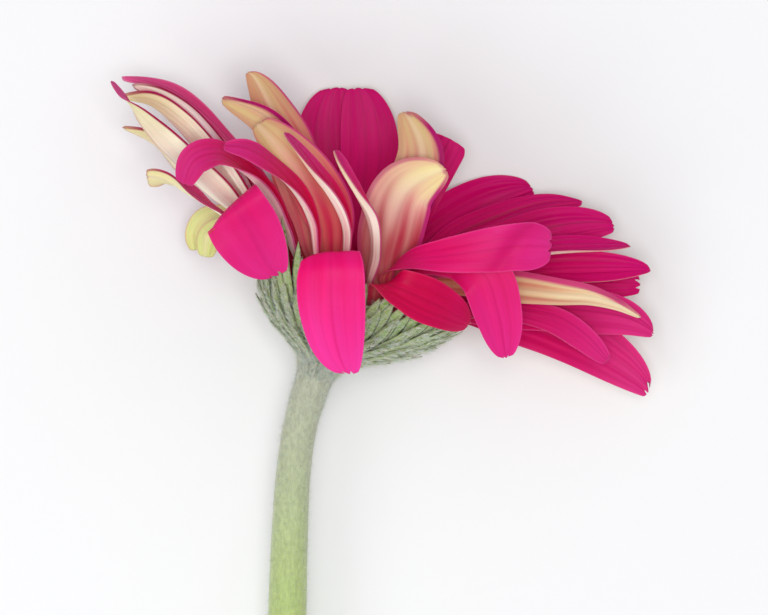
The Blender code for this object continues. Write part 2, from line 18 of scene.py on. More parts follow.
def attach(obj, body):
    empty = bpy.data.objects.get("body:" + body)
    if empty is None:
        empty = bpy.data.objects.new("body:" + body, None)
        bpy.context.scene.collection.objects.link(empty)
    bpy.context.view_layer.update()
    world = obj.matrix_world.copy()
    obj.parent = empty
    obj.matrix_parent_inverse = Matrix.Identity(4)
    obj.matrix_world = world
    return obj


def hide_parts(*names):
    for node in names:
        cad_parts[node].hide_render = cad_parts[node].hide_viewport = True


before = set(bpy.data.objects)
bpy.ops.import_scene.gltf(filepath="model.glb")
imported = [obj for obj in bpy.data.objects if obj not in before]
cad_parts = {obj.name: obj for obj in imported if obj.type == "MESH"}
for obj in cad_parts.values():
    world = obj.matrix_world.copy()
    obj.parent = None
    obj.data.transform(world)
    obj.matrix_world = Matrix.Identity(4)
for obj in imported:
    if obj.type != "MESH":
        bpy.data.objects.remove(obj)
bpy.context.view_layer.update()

Array = NDArray[np.float64]
Indices = NDArray[np.int64]
Rgb = tuple[float, float, float]
Look = tuple[float, float, float]
Station = tuple[float, float, float, Look]
Profile = tuple[tuple[float, float], ...]
Rng = np.random.Generator
Socket = bpy.types.NodeSocket

LOG = logging.getLogger("gerbera")
MM = 0.001
TURN = 2 * math.pi

HEAD_PLACE = np.array([-12.2, 72.7, 0.0])
HEAD_BASE = np.array([0.3, 0.0, 19.0])
HEAD_TURN_DEG = 70.0
HEAD_RISE_DEG = 4.0

UP: Look = (0, 0, 1)
DOWN: Look = (0, 0, -1)


# --- Numbers and surfaces --------------------------------------------------------------------------------


def smooth(t: Array | float) -> Array:
    """Eases a step from 0 to 1, as 3t^2 - 2t^3, and stays level outside it."""
    t = np.clip(t, 0.0, 1.0)
    return t * t * (3 - 2 * t)


def ease(x: Array, start: float, end: float) -> Array:
    """Eases from 0 to 1 while x goes from start to end."""
    return smooth((x - start) / (end - start))


def unit(vectors: Array) -> Array:
    """Returns the vectors at length one."""
    return vectors / np.maximum(np.linalg.norm(vectors, axis=-1, keepdims=True), 1e-12)


def linear(colour: Rgb) -> Array:
    """Turns a display colour, 0 to 255, into linear light."""
    c = np.array(colour, float) / 255
    return np.where(c <= 0.04045, c / 12.92, ((c + 0.055) / 1.055) ** 2.4)


def lay(ground: Array, colour: Rgb, share: Array | float) -> Array:
    """Lays a display colour over linear ones: ground times 1 - share, plus the colour times share."""
    share = np.asarray(share)[..., None]
    return ground * (1 - share) + linear(colour) * share


def bump(x: Array | float, middle: Array | float, width: float) -> Array:
    """Returns a bell of height 1 about the middle: e to the power of -((x - middle) / width)^2."""
    return np.exp(-(((x - middle) / width) ** 2))


def wave(turns: Array) -> Array:
    """Returns a sine of height 1, by whole turns."""
    return np.sin(TURN * turns)


def run_length(points: Array) -> Array:
    """Returns how far along a line of points each of them is."""
    return np.concatenate([[0], np.cumsum(np.linalg.norm(np.diff(points, axis=0), axis=1))])


def circle(first: Array, second: Array, angles: Array) -> Array:
    """Returns unit circles: cos(angle) times the first side plus sin(angle) times the second."""
    return np.cos(angles)[:, None] * first[..., None, :] + np.sin(angles)[:, None] * second[..., None, :]


def all_round(count: int) -> Array:
    """Returns azimuths in degrees as a row that runs back from 360."""
    return np.linspace(360, 0, count, endpoint=False)[None, :]


def uv_grid(u: Array, v: Array) -> Array:
    """Returns a grid of texture coordinates from two that broadcast together."""
    return np.stack(np.broadcast_arrays(u, v), axis=-1)


def spline(points: Array, at: Array) -> Array:
    """A cubic through the points, with each point's slope taken from its two neighbours.

    Args:
        points: One row per point, whose first three numbers are its place.
        at: Shares of the chord length, 0 to 1.

    Returns:
        One row per share.
    """
    knots = run_length(points[:, :3])
    knots /= knots[-1]
    slopes = np.gradient(points, knots, axis=0)
    i = np.clip(np.searchsorted(knots, at, side="right") - 1, 0, len(knots) - 2)
    span = (knots[i + 1] - knots[i])[:, None]
    t = (at - knots[i])[:, None] / span
    return (
        (2 * t**3 - 3 * t**2 + 1) * points[i]
        + (t**3 - 2 * t**2 + t) * span * slopes[i]
        + (3 * t**2 - 2 * t**3) * points[i + 1]
        + (t**3 - t**2) * span * slopes[i + 1]
    )


def even_spline(points: Array, shares: Array, steps: int = 400) -> Array:
    """The same curve, read at shares of its own length.

    Args:
        points: As for spline.
        shares: Shares of the length, 0 to 1.
        steps: How finely its length is measured.

    Returns:
        One row per share.
    """
    path = spline(points, np.linspace(0, 1, steps))
    length = run_length(path[:, :3])
    return np.stack([np.interp(shares * length[-1], length, column) for column in path.T], axis=1)


def grid_normals(surface: Array) -> Array:
    """Returns a grid's unit normals: the cross product of its slopes across and along."""
    return unit(np.cross(np.gradient(surface, axis=1), np.gradient(surface, axis=0)))


def grid_quads(along: int, across: int, closed_across: bool = False) -> Indices:
    """The four-sided faces of a grid whose points run across first, turned to face along its normals.

    Args:
        along: Points along.
        across: Points across.
        closed_across: True where the last column joins the first.

    Returns:
        One row of four indices per face.
    """
    i, j = np.meshgrid(np.arange(along - 1), np.arange(across - (not closed_across)), indexing="ij")
    near, far, ahead = i * across, (i + 1) * across, (j + 1) % across
    return np.stack([near + j, near + ahead, far + ahead, far + j], axis=-1).reshape(-1, 4)


@dataclass
class Shape:
    """A mesh in the making: points, its four- and three-sided faces, and what is painted on its points."""

    points: Array
    quads: Indices
    triangles: Indices
    uv: Array
    tint: Array


def gather(shapes: list[Shape]) -> Shape:
    """Joins many shapes into one, each one's faces counted on from the points before it.

    Args:
        shapes: The shapes, at least one.

    Returns:
        The joined shape.
    """
    starts = np.cumsum([0] + [len(shape.points) for shape in shapes[:-1]])
    return Shape(
        np.concatenate([shape.points for shape in shapes]),
        np.concatenate([shape.quads + start for start, shape in zip(starts, shapes)]),
        np.concatenate([shape.triangles + start for start, shape in zip(starts, shapes)]),
        np.concatenate([shape.uv for shape in shapes]),
        np.concatenate([shape.tint for shape in shapes]),
    )


def shell(upper: Array, under: Array, uv: Array, upper_tint: Array, under_tint: Array) -> Shape:
    """Closes two grids, one above the other, into a thin body with a rim all round.

    Args:
        upper: (along, across, 3), the side that the normals look out of.
        under: The other side, in the same shape.
        uv: (along, across, 2).
        upper_tint: (along, across, 3), the colours of the upper side.
        under_tint: The colours of the other side.

    Returns:
        The closed shape.
    """
    along, across = upper.shape[:2]
    count = along * across
    quads = grid_quads(along, across)
    index = np.arange(count).reshape(along, across)
    loop = np.concatenate([index[0, :], index[1:, -1], index[-1, -2::-1], index[-2:0:-1, 0]])
    ahead = np.roll(loop, -1)
    rim = np.stack([ahead, loop, loop + count, ahead + count], axis=1)
    return Shape(
        np.concatenate([upper.reshape(-1, 3), under.reshape(-1, 3)]),
        np.concatenate([quads, quads[:, ::-1] + count, rim]),
        np.empty((0, 3), np.int64),
        np.concatenate([uv.reshape(-1, 2)] * 2),
        np.concatenate([upper_tint.reshape(-1, 3), under_tint.reshape(-1, 3)]),
    )


def turned_shape(rings: Array, uv: Array, tint: Array) -> Shape:
    """A grid that closes on itself across, with a point at each end.

    Args:
        rings: (along, across, 3), where the first and last rings are capped.
        uv: (along, across, 2).
        tint: (along, across, 3), or one colour for all.

    Returns:
        The closed shape.
    """
    along, across = rings.shape[:2]
    tint = np.broadcast_to(tint, rings.shape)
    count = along * across
    ring = np.arange(across)
    ahead = (ring + 1) % across
    last = count - across
    start_cap = np.stack([ahead, ring, np.full(across, count)], axis=1)
    end_cap = np.stack([ring + last, ahead + last, np.full(across, count + 1)], axis=1)
    return Shape(
        np.concatenate([rings.reshape(-1, 3), rings[[0, -1]].mean(axis=1)]),
        grid_quads(along, across, closed_across=True),
        np.concatenate([start_cap, end_cap]),
        np.concatenate([uv.reshape(-1, 2), uv[[0, -1]].mean(axis=1)]),
        np.concatenate([tint.reshape(-1, 3), tint[[0, -1]].mean(axis=1)]),
    )


def write_piece(
    name: str, shape: Shape, finish: bpy.types.Material, slot: str, *nodes: str
) -> bpy.types.Object:
    """Writes a shape to a named object that rides on the flower and stands for its CAD nodes.

    Args:
        name: The piece's name.
        shape: What it is made of, in head millimetres.
        finish: Its material.
        slot: The record's material slot; not used.
        nodes: The CAD nodes that it stands for.

    Returns:
        The object.
    """
    mesh = bpy.data.meshes.new(name)
    faces = shape.quads.tolist() + shape.triangles.tolist()
    mesh.from_pydata(((shape.points + HEAD_PLACE) * MM).tolist(), [], faces)
    corners = np.empty(len(mesh.loops), np.int32)
    mesh.loops.foreach_get("vertex_index", corners)
    layer = mesh.uv_layers.new(name="UVMap")
    layer.data.foreach_set("uv", shape.uv[corners].astype(np.float32).ravel())
    colour = mesh.color_attributes.new(name="Tint", type="FLOAT_COLOR", domain="POINT")
    rgba = np.concatenate([shape.tint, np.ones((len(shape.tint), 1))], axis=1)
    colour.data.foreach_set("color", rgba.astype(np.float32).ravel())
    mesh.materials.append(finish)
    mesh.shade_smooth()
    obj = bpy.data.objects.new(name, mesh)
    bpy.context.scene.collection.objects.link(obj)
    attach(obj, "root")
    if nodes:
        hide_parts(*nodes)
    LOG.info("%s: %d faces, stands for %s", name, len(mesh.polygons), ", ".join(nodes) or "nothing")
    return obj


# --- Finishes --------------------------------------------------------------------------------------------


@dataclass(frozen=True)
class Grain:
    """A noise: its coordinates (UV or Object), their stretch, how fine it is and its finer layers."""

    source: str
    stretch: tuple[float, float, float]
    scale: float
    detail: float


EVEN = (1, 1, 1)


class NodeBoard:
    """Lays out one material's nodes."""

    def __init__(self, name: str) -> None:
        """Makes an empty material with a Principled shader.

        Args:
            name: The material's name.
        """
        self.material = bpy.data.materials.new(name)
        self.material.use_nodes = True
        self.tree = self.material.node_tree
        self.shader = self.tree.nodes["Principled BSDF"]

    def node(self, kind: str, **settings: object) -> bpy.types.Node:
        """Adds a node.

        Args:
            kind: Its type, without the ShaderNode prefix.
            settings: Its properties by name, and its inputs by in_ and their index.

        Returns:
            The node.
        """
        made = self.tree.nodes.new("ShaderNode" + kind)
        for key, value in settings.items():
            if key.startswith("in_"):
                made.inputs[int(key[3:])].default_value = value
            else:
                setattr(made, key, value)
        return made

    def link(self, source: Socket, target: Socket) -> None:
        """Joins an output to an input."""
        self.tree.links.new(source, target)

    def noise(self, grain: Grain) -> Socket:
        """Adds a noise.

        Args:
            grain: What it is like.

        Returns:
            Its value, about 0.5 on average.
        """
        coordinates, mapping = self.node("TexCoord"), self.node("Mapping")
        mapping.inputs["Scale"].default_value = grain.stretch
        self.link(coordinates.outputs[grain.source], mapping.inputs["Vector"])
        made = self.node("TexNoise")
        made.inputs["Scale"].default_value = grain.scale
        made.inputs["Detail"].default_value = grain.detail
        self.link(mapping.outputs["Vector"], made.inputs["Vector"])
        return made.outputs["Fac"]

    def ranged(self, value: Socket, low: float, high: float) -> Socket:
        """Adds a range map from a noise's usual 0.3 to 0.7.

        Args:
            value: The noise.
            low: What 0.3 becomes.
            high: What 0.7 becomes.

        Returns:
            The mapped value.
        """
        made = self.node("MapRange", in_1=0.3, in_2=0.7, in_3=low, in_4=high)
        self.link(value, made.inputs[0])
        return made.outputs[0]

    def shaded(self, colour: Socket | Rgb, value: Socket) -> Socket:
        """Multiplies a colour by a value.

        Args:
            colour: A socket, or one display colour.
            value: The value.

        Returns:
            The product.
        """
        made = self.node("VectorMath", operation="SCALE")
        if isinstance(colour, tuple):
            made.inputs[0].default_value = linear(colour)
        else:
            self.link(colour, made.inputs[0])
        self.link(value, made.inputs["Scale"])
        return made.outputs[0]

    def bumped(self, heights: list[tuple[Socket, float]]) -> None:
        """Chains bumps into the shader's normal.

        Args:
            heights: Each height and its depth in millimetres.
        """
        last = None
        for height, depth in heights:
            made = self.node("Bump")
            made.inputs["Strength"].default_value = 1.0
            made.inputs["Distance"].default_value = depth * MM
            self.link(height, made.inputs["Height"])
            if last is not None:
                self.link(last, made.inputs["Normal"])
            last = made.outputs["Normal"]
        self.link(last, self.shader.inputs["Normal"])

    def set(self, **values: object) -> None:
        """Sets the shader's own sockets, with underscores for the spaces in their names."""
        for key, value in values.items():
            self.shader.inputs[key.replace("_", " ")].default_value = value

    def tint(self) -> Socket:
        """Returns the colour painted on the mesh."""
        return self.node("Attribute", attribute_name="Tint").outputs["Color"]


@dataclass(frozen=True)
class PetalFinish:
    """A petal's skin: the painted colour, fine lines along it, satin gloss and light let through."""

    name: str = "ray_floret_skin"
    lines: Grain = Grain("UV", (40, 1.6, 1), 1.0, 3.0)
    broad: Grain = Grain("UV", (7, 1.1, 1), 1.0, 2.0)
    cells: Grain = Grain("Object", EVEN, 5200.0, 2.0)
    line_depth: float = 0.06
    cell_depth: float = 0.010
    roughness: tuple[float, float] = (0.37, 0.50)
    gloss: float = 0.1
    glow: float = 0.13
    glow_reach: float = 0.8

    def material(self) -> bpy.types.Material:
        """Makes the material.

        Returns:
            The material.
        """
        board = NodeBoard(self.name)
        lines, broad, cells = (board.noise(grain) for grain in (self.lines, self.broad, self.cells))
        colour = board.shaded(board.tint(), board.ranged(lines, 0.96, 1.03))
        colour = board.shaded(colour, board.ranged(broad, 0.95, 1.04))
        board.link(colour, board.shader.inputs["Base Color"])
        board.link(board.ranged(broad, *self.roughness), board.shader.inputs["Roughness"])
        board.bumped([(lines, self.line_depth), (cells, self.cell_depth)])
        board.set(
            Subsurface_Weight=self.glow,
            Subsurface_Radius=(1.0, 0.25, 0.4),
            Subsurface_Scale=self.glow_reach * MM,
            Specular_IOR_Level=self.gloss,
        )
        return board.material


@dataclass(frozen=True)
class WoollyFinish:
    """Felted green: the painted colour under a white wool that thickens and thins."""

    name: str
    wool: Rgb = (222, 226, 200)
    cover: float = 0.6
    roughness: float = 0.85
    patches: Grain = Grain("Object", EVEN, 1400.0, 5.0)
    threads: Grain = Grain("UV", (26, 5, 1), 1.0, 4.0)
    depth: float = 0.12

    def material(self) -> bpy.types.Material:
        """Makes the material.

        Returns:
            The material.
        """
        board = NodeBoard(self.name)
        patches, threads = board.noise(self.patches), board.noise(self.threads)
        blend = board.node("Mix", data_type="RGBA")
        board.link(board.ranged(patches, 0.0, self.cover), blend.inputs["Factor"])
        board.link(board.shaded(board.tint(), board.ranged(threads, 0.74, 1.18)), blend.inputs["A"])
        blend.inputs["B"].default_value = (*linear(self.wool), 1)
        board.link(blend.outputs["Result"], board.shader.inputs["Base Color"])
        board.bumped([(threads, self.depth), (patches, self.depth)])
        board.set(
            Roughness=self.roughness,
            Subsurface_Weight=0.15,
            Subsurface_Radius=(0.7, 1.0, 0.4),
            Subsurface_Scale=0.8 * MM,
            Sheen_Weight=0.2,
            Sheen_Roughness=0.6,
            Specular_IOR_Level=0.2,
        )
        return board.material


@dataclass(frozen=True)
class StemFinish:
    """A stalk's skin: the painted colour with long fibres and fine pores."""

    name: str = "stem_skin"
    roughness: float = 0.55
    fibres: Grain = Grain("UV", (60, 5, 1), 1.0, 4.0)
    pores: Grain = Grain("Object", (1, 0.6, 1), 1500.0, 4.0)
    fibre_depth: float = 0.10
    pore_depth: float = 0.06

    def material(self) -> bpy.types.Material:
        """Makes the material.

        Returns:
            The material.
        """
        board = NodeBoard(self.name)
        fibres, pores = board.noise(self.fibres), board.noise(self.pores)
        colour = board.shaded(board.tint(), board.ranged(fibres, 0.92, 1.07))
        colour = board.shaded(colour, board.ranged(pores, 0.86, 1.12))
        board.link(colour, board.shader.inputs["Base Color"])
        board.bumped([(fibres, self.fibre_depth), (pores, self.pore_depth)])
        board.set(
            Roughness=self.roughness,
            Subsurface_Weight=0.2,
            Subsurface_Radius=(0.8, 1.0, 0.4),
            Subsurface_Scale=1.2 * MM,
            Sheen_Weight=0.35,
            Sheen_Roughness=0.5,
            Specular_IOR_Level=0.35,
        )
        return board.material


@dataclass(frozen=True)
class HairFinish:
    """Pale hairs that let light through."""

    name: str = "plant_hair"
    roughness: float = 0.5
    glow: float = 0.3
    sheen: float = 0.3
    uneven: Grain = Grain("Object", EVEN, 700.0, 2.0)

    def material(self) -> bpy.types.Material:
        """Makes the material.

        Returns:
            The material.
        """
        board = NodeBoard(self.name)
        colour = board.shaded(board.tint(), board.ranged(board.noise(self.uneven), 0.9, 1.08))
        board.link(colour, board.shader.inputs["Base Color"])
        board.set(
            Roughness=self.roughness,
            Subsurface_Weight=self.glow,
            Subsurface_Scale=0.3 * MM,
            Sheen_Weight=self.sheen,
        )
        return board.material


@dataclass(frozen=True)
class FloorFinish:
    """A pale board."""

    name: str = "pale_floor"
    colour: Rgb = (246, 246, 247)
    roughness: float = 0.7
    gloss: float = 0.2
    faint: Grain = Grain("Object", EVEN, 6.0, 3.0)

    def material(self) -> bpy.types.Material:
        """Makes the material.

        Returns:
            The material.
        """
        board = NodeBoard(self.name)
        colour = board.shaded(self.colour, board.ranged(board.noise(self.faint), 0.99, 1.0))
        board.link(colour, board.shader.inputs["Base Color"])
        board.set(Roughness=self.roughness, Specular_IOR_Level=self.gloss)
        return board.material


# --- The head --------------------------------------------------------------------------------------------


class Head:
    """Where the flower head is: its axis, and points counted from it."""

    def __init__(self) -> None:
        """Works out the axis, and which way is right and top round it."""
        turn, rise = math.radians(HEAD_TURN_DEG), math.radians(HEAD_RISE_DEG)
        level = math.cos(rise)
        self.axis = np.array([math.cos(turn) * level, math.sin(turn) * level, math.sin(rise)])
        self.right = np.array([math.sin(turn), -math.cos(turn), 0.0])
        self.top = np.cross(self.right, self.axis)

    def at(self, height: Array | float, radius: Array | float, azimuth_deg: Array | float) -> Array:
        """Points at heights up the axis, radii and azimuths round it.

        Args:
            height: Up the axis from the base.
            radius: Out from the axis.
            azimuth_deg: 0 is the top, 90 the right.

        Returns:
            The points, in the shape of the three broadcast together.
        """
        height, radius, azimuth = np.broadcast_arrays(height, radius, np.radians(azimuth_deg))
        out = np.cos(azimuth)[..., None] * self.top + np.sin(azimuth)[..., None] * self.right
        return HEAD_BASE + height[..., None] * self.axis + radius[..., None] * out


HEAD = Head()


# --- Ray florets -----------------------------------------------------------------------------------------


class Ring(Enum):
    """The rings that the ray florets stand on: height up the axis and radius."""

    OUTER = (8.9, 12.0)
    MIDDLE = (9.7, 10.2)
    INNER = (10.3, 8.4)


@dataclass(frozen=True)
class UpperTone:
    """The pink side's colours: its foot, blade and tip, its veins and its thin rim. The colour towards the
    tip is partly a painted sheen, and the thin paler rim is a painted highlight along the margin.
    """

    foot: Rgb
    blade: Rgb
    tip: Rgb
    vein: Rgb
    rim: Rgb


class Upper(Enum):
    """How a ray floret's pink side is coloured."""

    DEEP = UpperTone((176, 0, 54), (206, 0, 98), (208, 6, 114), (146, 0, 66), (220, 40, 124))
    BRIGHT = UpperTone((180, 0, 50), (208, 2, 96), (218, 46, 130), (160, 0, 70), (232, 76, 148))
    HOT = UpperTone((200, 0, 62), (234, 12, 108), (252, 64, 170), (214, 0, 92), (252, 80, 166))
    ROSE = UpperTone((196, 0, 62), (220, 12, 100), (228, 46, 140), (190, 0, 84), (240, 76, 156))
    VIOLET = UpperTone((185, 0, 60), (208, 34, 110), (208, 78, 140), (156, 0, 80), (218, 90, 150))
    LILAC = UpperTone((192, 6, 72), (220, 46, 118), (226, 94, 150), (160, 4, 78), (246, 160, 194))
    CRIMSON = UpperTone((160, 0, 36), (202, 2, 70), (206, 10, 92), (150, 0, 44), (224, 60, 116))
    RED = UpperTone((140, 0, 26), (214, 10, 74), (204, 44, 128), (156, 0, 48), (222, 76, 140))


@dataclass(frozen=True)
class UnderTone:
    """The pale side's colours: its foot, blade and tip, its streaks and its rim.

    reach is how far up the foot's colour comes, streaks how strongly the streaks show, and flush how
    strongly their colour comes in from the left and the right margin. rims is how strongly the colour of
    the rim covers each margin, over rim_width millimetres.
    """

    foot: Rgb
    blade: Rgb
    tip: Rgb
    streak: Rgb
    reach: float = 0.5
    streaks: float = 0.5
    flush: tuple[float, float] = (0.1, 0.3)
    rim_width: float = 0.35
    rims: tuple[float, float] = (0.9, 0.2)
    rim: Rgb = (196, 44, 120)


class Under(Enum):
    """How a ray floret's pale side is coloured."""

    TAN = UnderTone((214, 36, 84), (226, 160, 130), (216, 182, 130), (206, 76, 96), reach=0.74,
                    streaks=0.75, flush=(0.6, 0.2), rim_width=0.5)
    BANDED = UnderTone((214, 48, 92), (236, 196, 158), (222, 196, 138), (214, 100, 112), reach=0.7,
                       streaks=0.6, flush=(0.3, 0.3), rim_width=1.3, rims=(1.0, 0.2), rim=(176, 16, 104))
    CREAM = UnderTone((226, 120, 140), (254, 238, 222), (248, 228, 186), (244, 160, 172),
                      streaks=0.3, flush=(0.1, 0.4))
    SANDY = UnderTone((204, 92, 84), (238, 208, 160), (246, 228, 184), (204, 120, 98), reach=0.64,
                      streaks=0.45, flush=(0.1, 0.2), rim_width=1.6, rims=(0.1, 0.95), rim=(206, 48, 120))
    EDGED = UnderTone((252, 224, 222), (252, 248, 222), (232, 222, 164), (250, 206, 206), reach=0.4,
                      streaks=0.3, flush=(0.05, 0.3), rim_width=0.55, rims=(1.0, 0.35), rim=(160, 14, 72))
    LIME = UnderTone((246, 242, 200), (236, 238, 180), (228, 230, 152), (216, 220, 130), reach=0.3,
                     streaks=0.3, flush=(0.1, 0.1), rim_width=0.3, rims=(0.35, 0.35))
    # Its dark crimson rim is the pink margin, darkened further as painted shade in the narrow gaps between
    # the pale strips.
    WHITE_PINK = UnderTone((250, 196, 206), (255, 248, 246), (250, 238, 216), (246, 172, 192), reach=0.45,
                           streaks=0.35, rim_width=0.45, rims=(1.0, 0.9), rim=(150, 10, 62))
    GREY_PINK = UnderTone((226, 170, 176), (232, 208, 204), (212, 70, 130), (220, 120, 146), reach=0.4,
                          flush=(0.2, 0.5), rim_width=0.5)
    # Its deep red foot is its own flush, darkened further as painted shade near the base.
    FLUSHED = UnderTone((186, 8, 60), (252, 208, 188), (246, 228, 164), (240, 120, 146), reach=0.72,
                        streaks=0.34, flush=(0.1, 0.6), rim_width=1.1, rims=(1.0, 0.6))


@dataclass(frozen=True)
class Tip:
    """How a floret narrows: from which share of its length and to what share of its width.

    skew is -1 where its left margin stays straight, 0 where both come in and 1 where its right one is
    straight. roundness is 0.5 for a round tip and 1 or more for a pointed one.
    """

    start: float = 0.55
    end: float = 0.12
    skew: float = 0.0
    roundness: float = 0.6


@dataclass(frozen=True)
class Floret:
    """One ray floret: its foot on a ring and the stations (x, y, z, look) that it runs through.

    The look is the way that its pink side faces there. curl is how far its two margins bend to that side
    in degrees, and tip_curl the share of that which is left at its tip. claw is the share of its length at
    which it is full width. teeth is the depth of the notches in its tip in millimetres, pleat how strong
    its folds are, and crease the place and depth of a dent across it.
    """

    name: str
    ring: Ring
    azimuth: float
    width: float
    run: tuple[Station, ...]
    curl: tuple[float, float] = (12, 12)
    tip: Tip = Tip()
    claw: float = 0.54
    tip_curl: float = 1.0
    upper: Upper = Upper.DEEP
    under: Under = Under.TAN
    teeth: float = 0.25
    pleat: float = 1.0
    crease: tuple[float, float] = (0.8, 0.0)


